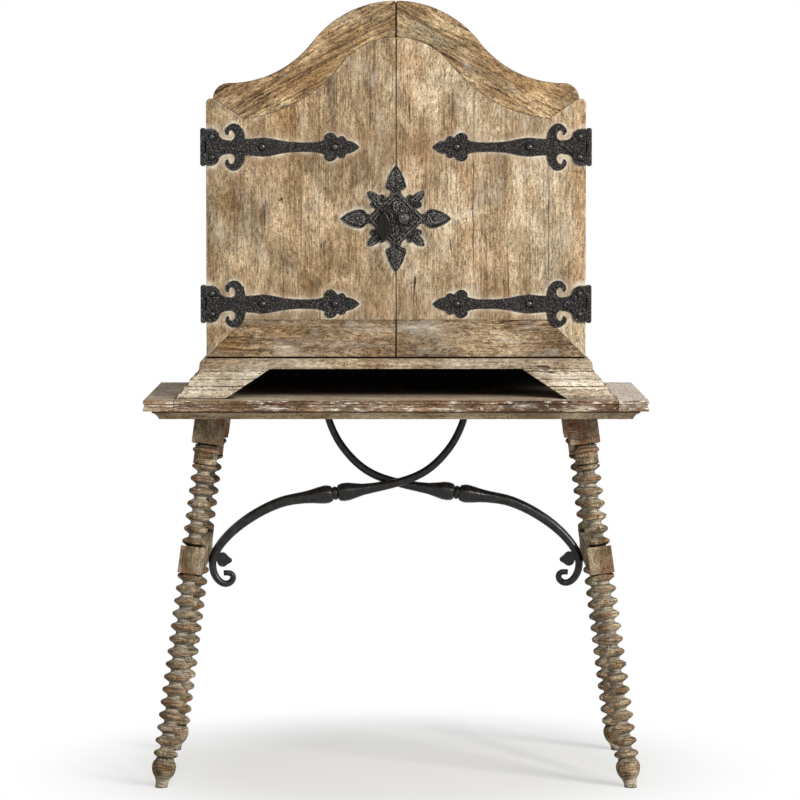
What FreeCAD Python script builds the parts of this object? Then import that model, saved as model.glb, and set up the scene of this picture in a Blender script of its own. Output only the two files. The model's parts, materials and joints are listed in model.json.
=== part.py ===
# A two-door chest with an ogee crest, standing on a splayed, spool-turned stand (millimetres).
# X runs to the viewer's right, Y runs to the back, Z runs up; the floor under the middle is the origin.
import FreeCAD, Part
import math
import os

V = FreeCAD.Vector

# Shared values
overrun = 5.0
touch_tolerance = 0.001
gap = 0.3
running_gap = 0.05

# The table-top: three long planks between two end boards
table_width = 1044.0
table_depth = 560.0
table_height = 813.0
top_thickness = 23.0
end_board_width = 63.0
plank_count = 3
edge_lip_height = 8.0
edge_groove_height = 7.0
edge_groove_depth = 2.5

# The coved moulding under the top
cove_height = 18.0
cove_setback = 17.0
cove_reach = 14.0
cove_lip = 4.0
cove_board_width = 60.0
scoop_share = 0.62

# The legs: how far inside the table's edge the centre line meets the cleats and the floor
leg_top_inset_x = 133.0
leg_top_inset_y = 147.0
leg_foot_inset_x = 32.0
leg_foot_inset_y = 52.0
top_block_width = 63.0
top_block_length = 62.0
middle_block_width = 50.0
middle_block_length = 57.0
ring_pitch = 26.6
ring_radius = 25.4
ring_width = 19.0
ring_root_radius = 14.8
ring_crest_width = 10.4
ring_crest_depth = 3.4
valley_radius = 12.8
block_ring_gap = 0.5
block_ring_overlap = 3.5
upper_ring_count = 6
neck_radius = 24.5
neck_bead_radius = 29.0
neck_bead_width = 9.0
neck_bead_drop = 14.0
neck_drum_length = 24.5
neck_groove_width = 2.5
neck_groove_depth = 3.0
collar_lip = 2.0
bulb_neck_radius = 19.0
bulb_radius = 25.2
bulb_waist_radius = 20.0
ankle_radius = 13.3
foot_radius = 12.8
bulb_length = 57.0
bulb_widest_drop = 14.0
bulb_waist_drop = 33.0
ankle_drop = 47.0
bulb_top_bow = 0.115
bulb_side_bow = 0.07

# The cleats and the side stretchers
cleat_width = 90.0
cleat_end_gap = 7.0
stretcher_thickness = 40.0
stretcher_height = 46.0

# The two forged iron braces, both in planes square to the table's depth
brace_end_inset = 120.5
brace_drop = 398.0
brace_bar_diameter = 20.0
brace_foot_length = 70.0
brace_foot_width = 36.0
brace_foot_thickness = 5.0
brace_screw_spacing = 50.0
brace_screw_diameter = 6.0
brace_screw_head_diameter = 11.0
brace_screw_head_height = 3.0
brace_screw_bite = 15.0
brace_bolt_bite = 8.0
leaf_length = 33.0
leaf_thickness = 9.0
brace_start = 2.0
scroll_widest_share = 0.978
scroll_widest_drop_share = 0.849
scroll_girth_share = 0.83
crossing_girth_share = 0.92

# The chest's bracket feet
foot_height = 60.0
foot_flare = 44.0
foot_board_thickness = 22.0
foot_length_above = 148.0
foot_length_below = 99.0
plinth_board_thickness = 22.0

# The base moulding
base_height = 21.5
base_reach = 14.0
base_nose_drop = 15.0
base_round_share = 0.71
base_board_width = 60.0

# The case, set in from the edge of the table-top
case_end_inset = 126.0
case_side_inset = 97.0
case_board = 20.0
floor_board = 18.0
back_board = 9.0
back_rebate = 4.0
roof_board = 18.0
roof_setback = 2.0
arch_rail_depth = 56.0
arch_rail_thickness = 18.0
shelf_board = 18.0
shelf_lower_level = 176.0
shelf_upper_level = 346.0
shelf_front_setback = 22.0
shelf_side_gap = 0.5
shelf_pin_diameter = 6.0
shelf_pin_depth = 8.0
shelf_pin_reach = 10.0
shelf_pin_inset = 40.0

# The doors and their crest
door_thickness = 25.0
door_lift = 2.5
door_height = 742.0
seam_gap = 2.0
crown_share = 0.632
crest_rise_share = 0.491
ovolo_reach = 33.0
ovolo_drop = 32.0
shoulder_step = 4.0
shoulder_radius = 10.7
crest_band = 76.0
stile_width = 78.0
bottom_rail_height = 78.0
plank_joint_share = 0.506

# The strap hinges
strap_lower_level = 111.0
strap_upper_level = 438.0
strap_thickness = 3.0
strap_tip_inset = 75.7
strap_rise = 48.0
shield_thickness = 6.0
shield_length = 46.0
shield_rise = 37.5
shield_edge_gap = 0.9
barrel_radius = 6.0
pin_radius = 3.0
pin_head_radius = 4.5
pin_head_height = 2.0
case_leaf_thickness = 3.0
case_leaf_length = 62.0

# Studs, bolts and screws on the doors and the case sides
strap_stud_radius = 8.0
strap_stud_height = 6.0
shield_bolt_radius = 7.0
shield_bolt_height = 5.0
lock_stud_radius = 6.0
lock_stud_height = 5.0
leaf_screw_radius = 5.5
leaf_screw_height = 2.5
stud_shank_radius = 2.5
stud_shank_depth = 18.0
strap_stud_outer = 117.5
strap_stud_tip_distance = 51.5
shield_bolt_place = 12.6
shield_bolt_rise = 21.4
leaf_screw_rise = 24.0
leaf_screw_place = 42.0
leaf_screw_depth = 12.0

# The lock plate, its boss and the hanging pull
lock_level = 289.0
lock_reach = 116.0
lock_rise = 112.0
lock_thickness = 3.5
lock_raise = 4.0
lock_raise_reach = 60.0
lock_raise_slope = 2.5
lock_stud_place = 81.0
lock_stud_rise = 78.0
lock_stud_inset = 8.0
boss_x = 16.0
boss_radius = 12.5
boss_height = 10.0
boss_rounding = 2.5
pull_x = 24.5
pull_pivot_rise = 21.0
pull_pivot_stand = 6.0
pull_eye_radius = 4.5
pull_pin_radius = 2.0
pull_width = 26.0
pull_drop = 68.0
pull_thickness = 6.0
lug_thickness = 3.0
lug_width = 9.0

# The magnets and strike plates that hold the doors shut
magnet_length = 40.0
magnet_height = 12.0
magnet_depth = 12.0
magnet_x = 32.0
strike_length = 32.0
strike_height = 10.0
strike_thickness = 1.5

# Places that follow from the sizes above
half_width = table_width / 2
half_depth = table_depth / 2
leg_top_x = half_width - leg_top_inset_x
leg_top_y = half_depth - leg_top_inset_y
leg_foot_x = half_width - leg_foot_inset_x
leg_foot_y = half_depth - leg_foot_inset_y
brace_reach = half_width - brace_end_inset
case_half_width = half_width - case_end_inset
case_half_depth = half_depth - case_side_inset
top_underside = table_height - top_thickness
leg_top = top_underside - cove_height
case_front = -case_half_depth + door_thickness + gap
door_front = -case_half_depth
door_back = door_front + door_thickness
base_bottom = table_height + foot_height
base_top = base_bottom + base_height
door_bottom = base_top + door_lift
door_top = door_bottom + door_height
door_edge = case_half_width - gap
strap_length = door_edge - strap_tip_inset
strap_stud_inner = strap_length - strap_stud_tip_distance
stile_inside = case_half_width - stile_width
rail_top = door_bottom + bottom_rail_height
plank_joint_x = stile_inside * plank_joint_share
step_x = door_edge - shoulder_radius - shoulder_step
crest_half_span = step_x - ovolo_reach
crown_radius = crest_half_span * crown_share
crest_rise = crest_half_span * crest_rise_share
crest_foot = door_top - crest_rise
sweep_radius = (crest_rise ** 2 + crest_half_span ** 2) / (2 * crest_rise) - crown_radius
crown_centre = (0.0, door_top - crown_radius)
sweep_centre = (crest_half_span, crest_foot + sweep_radius)
step_z = crest_foot - ovolo_drop
shoulder_z = step_z - shoulder_radius
shelf_levels = [shelf_lower_level, shelf_upper_level]
strap_levels = [strap_lower_level, strap_upper_level]
case_inside = case_half_width - case_board
case_back = case_half_depth - back_rebate
roof_inset = roof_setback + roof_board
brace_side = brace_reach * scroll_widest_share + brace_bar_diameter / 2 * scroll_girth_share
brace_plane = (brace_bar_diameter * crossing_girth_share + gap) / 2
brace_bolt_z = table_height - top_thickness - brace_drop * scroll_widest_drop_share
stretcher_inside = brace_side + gap
floor_top = base_top + floor_board
hinge_x = case_half_width + barrel_radius
hinge_y = door_front
lock_z = door_bottom + lock_level
lock_front = door_front - lock_thickness
raised_front = lock_front - lock_raise
pull_y = raised_front - pull_pivot_stand
pull_z = lock_z + pull_pivot_rise


# Small helpers
def box(low, high):
    return Part.makeBox(high[0] - low[0], high[1] - low[1], high[2] - low[2], V(*low))


def cylinder(radius, start, along):
    return Part.makeCylinder(radius, along.Length, start, along)


def outline(points, to_space):
    """A closed wire: a pair ends a straight run, and four numbers give an arc's middle and end."""
    edges = []
    first = here = to_space(*points[0])
    for step in points[1:]:
        end = to_space(*step[-2:])
        if len(step) == 4:
            edges.append(Part.Arc(here, to_space(*step[:2]), end).toShape())
        else:
            edges.append(Part.LineSegment(here, end).toShape())
        here = end
    if not here.isEqual(first, touch_tolerance):
        edges.append(Part.LineSegment(here, first).toShape())
    return Part.Wire(edges)


def prism(points, to_space, sweep):
    return Part.Face(outline(points, to_space)).extrude(sweep)


def scaled(shares, length, height):
    """Turns an outline's shares into sizes."""
    sizes = (length, height, length, height)
    return [tuple(share * size for share, size in zip(step, sizes)) for step in shares]


def turned(shape, degrees):
    """A copy turned about the upright axis."""
    copy = shape.copy()
    copy.rotate(V(0, 0, 0), V(0, 0, 1), degrees)
    return copy


def mirrored(shape):
    """A copy on the other side of the middle."""
    return shape.mirror(V(0, 0, 0), V(1, 0, 0))


def group(shapes):
    return Part.makeCompound(shapes)


# The table-top
def edge_groove():
    """The recess that runs round the top between its two lips."""
    groove_top = table_height - edge_lip_height
    groove_bottom = groove_top - edge_groove_height
    outer = box((-half_width - overrun, -half_depth - overrun, groove_bottom),
                (half_width + overrun, half_depth + overrun, groove_top))
    inner_x = half_width - edge_groove_depth
    inner_y = half_depth - edge_groove_depth
    inner = box((-inner_x, -inner_y, groove_bottom), (inner_x, inner_y, groove_top))
    return outer.cut(inner)


def table_planks():
    plank_end = half_width - end_board_width
    plank_width = table_depth / plank_count
    planks = []
    for index in range(plank_count):
        front = -half_depth + index * plank_width
        planks.append(box((-plank_end, front, top_underside), (plank_end, front + plank_width, table_height)))
    return [plank.cut(edge_groove()) for plank in planks]


def table_end():
    board = box((half_width - end_board_width, -half_depth, top_underside),
                (half_width, half_depth, table_height))
    return board.cut(edge_groove())


# Mitred boards that run round a rectangle
def mitred_rail(half_along, half_across, board_width, profile):
    """The front rail; the profile gives (distance in from the outer line, height)."""
    low = min(step[-1] for step in profile) - overrun
    high = max(step[-1] for step in profile) + overrun
    reach = half_along + overrun
    rail = prism(profile, lambda inset, height: V(-reach, inset - half_across, height), V(2 * reach, 0, 0))
    corners = [(-half_along - overrun, -half_across - overrun),
               (half_along + overrun, -half_across - overrun),
               (half_along - board_width, board_width - half_across),
               (board_width - half_along, board_width - half_across)]
    wedge = prism(corners, lambda x, y: V(x, y, low), V(0, 0, high - low))
    return rail.common(wedge)


def mitred_ring(half_x, half_y, board_width, profile):
    """The four rails in the order front, right, rear and left."""
    front = mitred_rail(half_x, half_y, board_width, profile)
    side = mitred_rail(half_y, half_x, board_width, profile)
    return [front, turned(side, 90), turned(front, 180), turned(side, 270)]


def table_moulding():
    top = top_underside
    foot = cove_setback + cove_reach
    bottom = top - cove_height
    hollow_height = cove_height - cove_lip
    scoop = (cove_setback + cove_reach * scoop_share, top - cove_lip - hollow_height * (1 - scoop_share))
    profile = [(cove_setback, top), (cove_setback, top - cove_lip), scoop + (foot, bottom),
               (cove_setback + cove_board_width, bottom), (cove_setback + cove_board_width, top)]
    return group(mitred_ring(half_width, half_depth, cove_setback + cove_board_width, profile))


# The legs
def leg_frame(side, end):
    """The placement of one leg: its own Z runs down the leg and its blocks face the front."""
    top = V(side * leg_top_x, end * leg_top_y, leg_top)
    foot = V(side * leg_foot_x, end * leg_foot_y, 0)
    down = foot - top
    across = V(1, 0, 0) - down * (down.x / down.Length ** 2)
    return FreeCAD.Placement(top, FreeCAD.Rotation(across, V(), down, "ZXY")), down.Length


def bowed(start, end, bow):
    """The step of an arc between two points, its middle pushed off the chord by a share of its length."""
    across, along = end[0] - start[0], end[1] - start[1]
    return ((start[0] + end[0]) / 2 + along * bow, (start[1] + end[1]) / 2 - across * bow) + end


def bead(radius, middle, width, root):
    """The steps of one rounded ring of a turned profile."""
    return [(root, middle - width / 2), (radius, middle, root, middle + width / 2)]


def rings(first_middle, count):
    """Rings with a rounded crest and straight flanks, and hollows between them."""
    steps = []
    flank_radius = ring_radius - ring_crest_depth
    for index in range(count):
        middle = first_middle + index * ring_pitch
        root = (ring_root_radius, middle - ring_width / 2)
        steps.append((valley_radius, middle - ring_pitch / 2) + root if index else root)
        steps += bead(ring_radius, middle, ring_crest_width, flank_radius)
        steps.append((ring_root_radius, middle + ring_width / 2))
    return steps


def revolve(steps, start, end):
    """A solid of revolution about the leg's own Z from a list of (radius, place) steps."""
    points = [(0, start)] + steps + [(0, end)]
    face = Part.Face(outline(points, lambda radius, place: V(radius, 0, place)))
    return face.revolve(V(0, 0, 0), V(0, 0, 1), 360)


def upper_turning():
    """The neck under the top block and the six rings above the middle block."""
    groove_radius = neck_radius - neck_groove_depth
    bead_top = top_block_length + neck_bead_drop - neck_bead_width / 2
    drum_end = bead_top + neck_bead_width + neck_drum_length
    collar_top = drum_end + neck_groove_width
    crest_top = collar_top + collar_lip
    crest_end = crest_top + ring_crest_width / 2
    collar_end = crest_top + ring_width / 2
    first = crest_top + ring_pitch
    flank_radius = ring_radius - ring_crest_depth
    crest_corner = round_corner(flank_radius, crest_top, ring_crest_depth, ring_crest_width / 2)
    block_start = first + (upper_ring_count - 1) * ring_pitch + ring_width / 2 + block_ring_gap
    steps = [(groove_radius, top_block_length), (groove_radius, top_block_length + neck_groove_width),
             (neck_radius, top_block_length + neck_groove_width), (neck_radius, bead_top)]
    steps += bead(neck_bead_radius, bead_top + neck_bead_width / 2, neck_bead_width, neck_radius)[1:]
    steps += [(neck_radius, drum_end), (groove_radius, drum_end), (groove_radius, collar_top),
              (ring_radius, collar_top), (ring_radius, crest_top),
              crest_corner[:2] + (flank_radius, crest_end), (ring_root_radius, collar_end),
              (valley_radius, crest_top + ring_pitch / 2, ring_root_radius, first - ring_width / 2)]
    steps += rings(first, upper_ring_count)[1:]
    steps.append((ring_root_radius, block_start))
    return revolve(steps, top_block_length, block_start), block_start


def lower_turning(start, leg_length):
    """As many rings as fit below the middle block, and the bulb foot."""
    first_top = start - block_ring_overlap
    bulb_top = leg_length - bulb_length
    ring_count = 1 + int((bulb_top - first_top - ring_width) / ring_pitch)
    widest = (bulb_radius, bulb_top + bulb_widest_drop)
    waist = (bulb_waist_radius, bulb_top + bulb_waist_drop)
    ankle = (ankle_radius, bulb_top + ankle_drop)
    steps = rings(first_top + ring_width / 2, ring_count)
    steps += [(bulb_neck_radius, steps[-1][-1]), (bulb_neck_radius, bulb_top),
              bowed((bulb_neck_radius, bulb_top), widest, bulb_top_bow), bowed(widest, waist, bulb_side_bow),
              bowed(waist, ankle, -bulb_side_bow), (foot_radius, leg_length + overrun)]
    return revolve(steps, first_top, leg_length + overrun)


def leg(side, end):
    placement, length = leg_frame(side, end)
    half_top = top_block_width / 2
    half_middle = middle_block_width / 2
    upper, block_start = upper_turning()
    block_end = block_start + middle_block_length
    blocks = [box((-half_top, -half_top, -half_top), (half_top, half_top, top_block_length)),
              box((-half_middle, -half_middle, block_start), (half_middle, half_middle, block_end))]
    solid = blocks[0].fuse([upper, blocks[1], lower_turning(block_end, length)])
    solid.Placement = placement
    reach = half_width + half_depth
    standing_room = box((-reach, -reach, 0), (reach, reach, leg_top))
    return solid.common(standing_room).removeSplitter()


def leg_cleat():
    reach = half_depth - cove_setback - cove_board_width - cleat_end_gap
    half_cleat = cleat_width / 2
    return box((leg_top_x - half_cleat, -reach, leg_top), (leg_top_x + half_cleat, reach, top_underside))


def stretcher_level():
    """The height of the middle of the middle blocks."""
    block_start = upper_turning()[1]
    length = leg_frame(1, 1)[1]
    return leg_top * (1 - (block_start + middle_block_length / 2) / length)


def side_stretcher(side):
    """A bar between the middle blocks, its ends cut to the slope of the blocks."""
    level = stretcher_level()
    bar = box((stretcher_inside, -leg_foot_y, level - stretcher_height / 2),
              (stretcher_inside + stretcher_thickness, leg_foot_y, level + stretcher_height / 2))
    for end in (-1, 1):
        placement, length = leg_frame(1, end)
        low, high = sorted((end * middle_block_width / 2, -end * length))
        beyond = box((-length, low, 0), (length, high, length))
        beyond.Placement = placement
        bar = bar.cut(beyond)
    bolt_start = V(stretcher_inside - overrun, side * brace_plane, brace_bolt_z)
    bar = bar.cut(cylinder(brace_screw_diameter / 2 + running_gap, bolt_start,
                           V(stretcher_thickness + 2 * overrun, 0, 0)))
    return bar if side > 0 else mirrored(bar)


# Screws, bolts and studs: one solid each, with a domed head and a shank
def fastener(place, out, head_radius, head_height, shank_radius, depth):
    dome_radius = (head_radius ** 2 + head_height ** 2) / (2 * head_height)
    half_turn = math.asin(head_radius / dome_radius) / 2
    dome_middle = (dome_radius * math.sin(half_turn), head_height - dome_radius * (1 - math.cos(half_turn)))
    steps = [(0, -depth), (shank_radius, -depth), (shank_radius, 0), (head_radius, 0),
             dome_middle + (0, head_height)]
    face = Part.Face(outline(steps, lambda radius, along: V(radius, 0, along)))
    solid = face.revolve(V(0, 0, 0), V(0, 0, 1), 360)
    solid.Placement = FreeCAD.Placement(place, FreeCAD.Rotation(V(0, 0, 1), out))
    return solid


def shank_hole(place, out, shank_radius, depth, headroom):
    """The hole that a fastener's shank sits in, from above its head's seat."""
    return cylinder(shank_radius + running_gap, place - out * (depth + gap), out * (depth + gap + headroom))


# The forged braces
brace_route_shares = [
    (-0.364, 0.0), (-0.360, 0.088), (-0.339, 0.146), (-0.309, 0.206), (-0.267, 0.266), (-0.214, 0.324),
    (-0.154, 0.371), (-0.082, 0.407), (0.0, 0.433), (0.110, 0.457), (0.319, 0.488), (0.528, 0.518),
    (0.581, 0.528), (0.665, 0.558), (0.750, 0.603), (0.831, 0.659), (0.902, 0.724), (0.951, 0.787),
    (scroll_widest_share, scroll_widest_drop_share), (0.977, 0.902), (0.957, 0.950), (0.909, 0.981),
    (0.881, 0.970), (0.870, 0.943), (0.878, 0.928), (0.896, 0.922), (0.920, 0.922)]

# The bar's girth along its length: two swellings with a collar between them, then a taper to the scroll
brace_girth_shares = [
    (0.0, 0.76), (0.15, 0.82), (0.30, 0.90), (0.359, 1.05), (0.392, 1.25), (0.418, 1.70), (0.430, 1.93),
    (0.444, 1.98), (0.455, 1.82), (0.460, 1.45), (0.4612, 1.30), (0.4632, 1.30), (0.4645, 1.48),
    (0.4695, 1.48), (0.4708, 1.30), (0.4728, 1.32), (0.4775, 1.72), (0.487, 1.95), (0.4965, 1.96),
    (0.512, 1.78), (0.53, 1.50), (0.5515, 1.30), (0.58, 1.19), (0.65, 1.125), (0.72, 1.08), (0.78, 1.0),
    (0.83, 0.93), (0.872, scroll_girth_share), (0.92, 0.76), (0.96, 0.67), (1.0, 0.58)]
brace_section_count = 60
scroll_start_share = 0.83
scroll_section_count = 44

leaf_shares = [
    (-0.09, 0.20), (0.03, 0.22), (0.27, 0.45, 0.58, 0.40), (0.77, 0.20, 0.92, 0.08),
    (1.0, -0.06, 0.93, -0.19),
    (0.66, -0.36), (0.28, -0.46, 0.03, -0.14), (-0.09, -0.12)]


def girth_at(share):
    """The bar's girth share at a share of its length."""
    for (low, girth_low), (high, girth_high) in zip(brace_girth_shares, brace_girth_shares[1:]):
        if share <= high:
            return girth_low + (girth_high - girth_low) * (share - low) / (high - low)
    return brace_girth_shares[-1][1]


def section_shares():
    """Where the bar is sectioned: evenly, at each change of girth, and closely round the scroll."""
    nearest = 1 / (3 * brace_section_count)
    shares = [share for share, girth in brace_girth_shares if share < scroll_start_share]
    for index in range(brace_section_count):
        even = index / brace_section_count
        if even < scroll_start_share and all(abs(even - share) >= nearest for share in shares):
            shares.append(even)
    shares += [scroll_start_share + (1 - scroll_start_share) * index / scroll_section_count
               for index in range(scroll_section_count + 1)]
    return sorted(shares)


def brace_bar(plane):
    """The bar from the underside of the top on the left to the scroll on the right."""
    route = [V(x * brace_reach, plane, top_underside - brace_start - drop * (brace_drop - brace_start))
             for x, drop in brace_route_shares]
    curve = Part.BSplineCurve()
    curve.interpolate(route)
    edge = curve.toShape()
    sections = []
    for share in section_shares():
        place = edge.getParameterByLength(edge.Length * share)
        circle = Part.Circle(V(), V(0, 0, 1), brace_bar_diameter * girth_at(share) / 2).toShape()
        circle.Placement = FreeCAD.Placement(
            edge.valueAt(place), FreeCAD.Rotation(V(0, 1, 0), V(), edge.tangentAt(place), "ZXY"))
        sections.append(Part.Wire([circle]))
    return Part.makeLoft(sections, True, True)


def brace_leaf(plane):
    """The small leaf on the inside of the scroll's back."""
    root = brace_side - brace_bar_diameter * scroll_girth_share
    shape = scaled(leaf_shares, leaf_length, leaf_length)
    return prism(shape, lambda along, rise: V(root - along, plane - leaf_thickness / 2, brace_bolt_z + rise),
                 V(0, leaf_thickness, 0))


def brace_foot_x():
    return brace_route_shares[0][0] * brace_reach


def brace_screw_places(plane):
    return [V(brace_foot_x(), plane + end * brace_screw_spacing / 2, top_underside - brace_foot_thickness)
            for end in (-1, 1)]


def brace_screw_hole(place):
    return shank_hole(place, V(0, 0, -1), brace_screw_diameter / 2, brace_foot_thickness + brace_screw_bite,
                      overrun)


def brace(side):
    """A whole brace: its scroll is on the given side."""
    plane = side * brace_plane
    foot = box((brace_foot_x() - brace_foot_width / 2, plane - brace_foot_length / 2,
                top_underside - brace_foot_thickness),
               (brace_foot_x() + brace_foot_width / 2, plane + brace_foot_length / 2, top_underside))
    whole = brace_bar(plane).fuse([foot, brace_leaf(plane)])
    holes = [brace_screw_hole(place) for place in brace_screw_places(plane)]
    holes.append(shank_hole(V(brace_side, plane, brace_bolt_z), V(1, 0, 0), brace_screw_diameter / 2,
                            brace_bolt_bite, overrun))
    whole = whole.cut(holes)
    return whole if side > 0 else mirrored(whole)


def brace_screws():
    """Two screws up into the top and one bolt through the stretcher for each brace."""
    fasteners = []
    for side in (-1, 1):
        plane = side * brace_plane
        own = [fastener(place, V(0, 0, -1), brace_screw_head_diameter / 2, brace_screw_head_height,
                        brace_screw_diameter / 2, brace_foot_thickness + brace_screw_bite)
               for place in brace_screw_places(plane)]
        bolt_seat = V(stretcher_inside + stretcher_thickness, plane, brace_bolt_z)
        own.append(fastener(bolt_seat, V(1, 0, 0), brace_screw_head_diameter / 2, brace_screw_head_height,
                            brace_screw_diameter / 2, stretcher_thickness + gap + brace_bolt_bite))
        fasteners += own if side > 0 else [mirrored(one) for one in own]
    return group(fasteners)


def drill_top(plank):
    """The screw holes of the braces' feet in the underside of a plank."""
    for side in (-1, 1):
        for place in brace_screw_places(side * brace_plane):
            hole = brace_screw_hole(place)
            plank = plank.cut(hole if side > 0 else mirrored(hole))
    return plank


# The chest's bracket feet and base moulding
foot_profile_shares = [
    (1.0, 1.0), (0.93, 0.84, 0.80, 0.745), (0.72, 0.745), (0.66, 0.70, 0.64, 0.635), (0.56, 0.635),
    (0.51, 0.50, 0.40, 0.41), (0.30, 0.41), (0.24, 0.26, 0.14, 0.17), (0.08, 0.17), (0.02, 0.125, 0.0, 0.05),
    (0.0, 0.0)]


def foot_half_sizes():
    reach = base_reach + foot_flare
    return case_half_width + reach, case_half_depth + reach


def foot_wings(half_along, half_across):
    """The left and right wing of the front feet, cut from one rail."""
    raised = [tuple(value + (table_height if index % 2 else 0) for index, value in enumerate(step))
              for step in scaled(foot_profile_shares, foot_flare, foot_height)]
    back = foot_flare + foot_board_thickness
    profile = raised + [(back, table_height), (back, base_bottom)]
    rail = mitred_rail(half_along, half_across, back, profile)
    below = half_along - foot_length_below
    above = half_along - foot_flare - foot_length_above
    arch = [(-below, table_height - overrun), (-below, table_height), (-above, base_bottom),
            (-above, base_bottom + overrun), (above, base_bottom + overrun), (above, base_bottom),
            (below, table_height), (below, table_height - overrun)]
    opening = prism(arch, lambda x, z: V(x, -half_across - overrun, z), V(0, back + 2 * overrun, 0))
    return sorted(rail.cut(opening).Solids, key=lambda solid: solid.CenterOfMass.x)


def chest_feet():
    half_x, half_y = foot_half_sizes()
    front_left, front_right = foot_wings(half_x, half_y)
    side_left, side_right = foot_wings(half_y, half_x)
    return {
        "chest_foot_front_left": group([front_left, turned(side_right, 270)]),
        "chest_foot_front_right": group([front_right, turned(side_left, 90)]),
        "chest_foot_rear_left": group([turned(front_right, 180), turned(side_left, 270)]),
        "chest_foot_rear_right": group([turned(front_left, 180), turned(side_right, 90)])}


def plinth_back():
    """The board between the rear feet that closes the space under the chest."""
    half_x, half_y = foot_half_sizes()
    behind = half_y - foot_flare - foot_board_thickness
    half_length = half_x - foot_flare - foot_board_thickness - gap
    front = behind - plinth_board_thickness
    return box((-half_length, front, table_height), (half_length, behind, base_bottom))


def base_moulding():
    nose = base_top - base_nose_drop
    bend = (base_reach * (1 - base_round_share), nose + base_nose_drop * base_round_share)
    profile = [(base_reach, base_top), bend + (0, nose), (0, base_bottom), (base_board_width, base_bottom),
               (base_board_width, base_top)]
    return group(mitred_ring(case_half_width + base_reach, case_half_depth + base_reach,
                             base_board_width, profile))


# The crest line that the doors, the roof, the arch rail and the back share
def crest_join(inset):
    return crest_half_span * (crown_radius - inset) / (crown_radius + sweep_radius)


def crest_z(x, inset):
    """The height of the crest line, drawn in by an inset, at a distance from the middle."""
    if x <= crest_join(inset):
        return crown_centre[1] + math.sqrt((crown_radius - inset) ** 2 - x ** 2)
    return sweep_centre[1] - math.sqrt((sweep_radius + inset) ** 2 - (crest_half_span - x) ** 2)


def crest_steps(start, end, inset):
    """The arcs of the crest line between two distances from the middle."""
    join = crest_join(inset)
    stops = [start] + ([join] if min(start, end) < join < max(start, end) else []) + [end]
    steps = []
    for here, there in zip(stops, stops[1:]):
        middle = (here + there) / 2
        steps.append((middle, crest_z(middle, inset), there, crest_z(there, inset)))
    return steps


def round_corner(centre_x, centre_z, reach, rise):
    """A quarter round from straight above a centre to straight beside it."""
    return (centre_x + reach * math.sqrt(0.5), centre_z + rise * math.sqrt(0.5), centre_x + reach, centre_z)


def case_roof():
    """One curved roof board, with the doors' shoulder at its foot."""
    top = [(0, crest_z(0, roof_setback))] + crest_steps(0, crest_half_span, roof_setback)
    top.append(round_corner(crest_half_span, step_z, ovolo_reach - roof_setback, ovolo_drop - roof_setback))
    shoulder_x = step_x + shoulder_step - roof_setback
    top.append((shoulder_x, step_z))
    top.append(round_corner(shoulder_x, shoulder_z, shoulder_radius, shoulder_radius))
    inside = [(case_inside, shoulder_z), (case_inside, step_z),
              (crest_half_span, crest_z(crest_half_span, roof_inset))]
    inside += crest_steps(crest_half_span, 0, roof_inset)
    return prism(top + inside, lambda x, z: V(x, case_front, z), V(0, case_half_depth - case_front, 0))


def arch_top():
    """The line just under the roof boards, from the middle to the case side."""
    inset = roof_inset + gap
    steps = [(0, crest_z(0, inset))] + crest_steps(0, crest_half_span, inset)
    return steps + [(case_inside - gap, step_z - gap)]


def arch_rail():
    inset = roof_inset + arch_rail_depth
    half = arch_top() + [(case_inside - gap, crest_z(crest_half_span, inset)),
                         (crest_half_span, crest_z(crest_half_span, inset))]
    half += crest_steps(crest_half_span, 0, inset)
    solid = prism(half, lambda x, z: V(x, case_front, z), V(0, arch_rail_thickness, 0))
    return solid.fuse(mirrored(solid)).removeSplitter()


def carcass_back():
    half = arch_top() + [(case_inside - gap, base_top), (0, base_top)]
    solid = prism(half, lambda x, z: V(x, case_back - back_board, z), V(0, back_board, 0))
    return solid.fuse(mirrored(solid)).removeSplitter()


def leaf_screw_places():
    return [V(case_half_width + case_leaf_thickness, hinge_y + leaf_screw_place, door_bottom + level + rise)
            for level in strap_levels for rise in (-leaf_screw_rise, leaf_screw_rise)]


def leaf_screw_hole(place):
    return shank_hole(place, V(1, 0, 0), stud_shank_radius, case_leaf_thickness + leaf_screw_depth, overrun)


def shelf_pin_places():
    """Where the pins enter the right side, under each end of each shelf."""
    fronts = (case_front + shelf_front_setback + shelf_pin_inset, case_back - back_board - shelf_pin_inset)
    half_pin = shelf_pin_diameter / 2
    return [V(case_inside, y, floor_top + level - half_pin) for level in shelf_levels for y in fronts]


def carcass_side():
    """The right side, with holes for shelf pins and hinge screws."""
    side = box((case_inside, case_front, base_top), (case_half_width, case_half_depth, shoulder_z))
    holes = [leaf_screw_hole(place) for place in leaf_screw_places()]
    holes += [shank_hole(place, V(-1, 0, 0), shelf_pin_diameter / 2, shelf_pin_depth, overrun)
              for place in shelf_pin_places()]
    return side.cut(holes)


def carcass_floor():
    return box((-case_inside, case_front, base_top), (case_inside, case_back - back_board, floor_top))


def shelf(level):
    half = case_inside - shelf_side_gap
    return box((-half, case_front + shelf_front_setback, floor_top + level),
               (half, case_back - back_board - gap, floor_top + level + shelf_board))


def shelf_pins():
    pins = [cylinder(shelf_pin_diameter / 2, place + V(shelf_pin_depth, 0, 0),
                     V(-shelf_pin_depth - shelf_pin_reach, 0, 0)) for place in shelf_pin_places()]
    return group(pins + [mirrored(pin) for pin in pins])


# The hinges
def knuckle_split():
    """Half the height of the middle knuckle and where the door's two knuckles begin."""
    middle = shield_rise / 3
    return middle - gap / 2, middle + gap / 2


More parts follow.
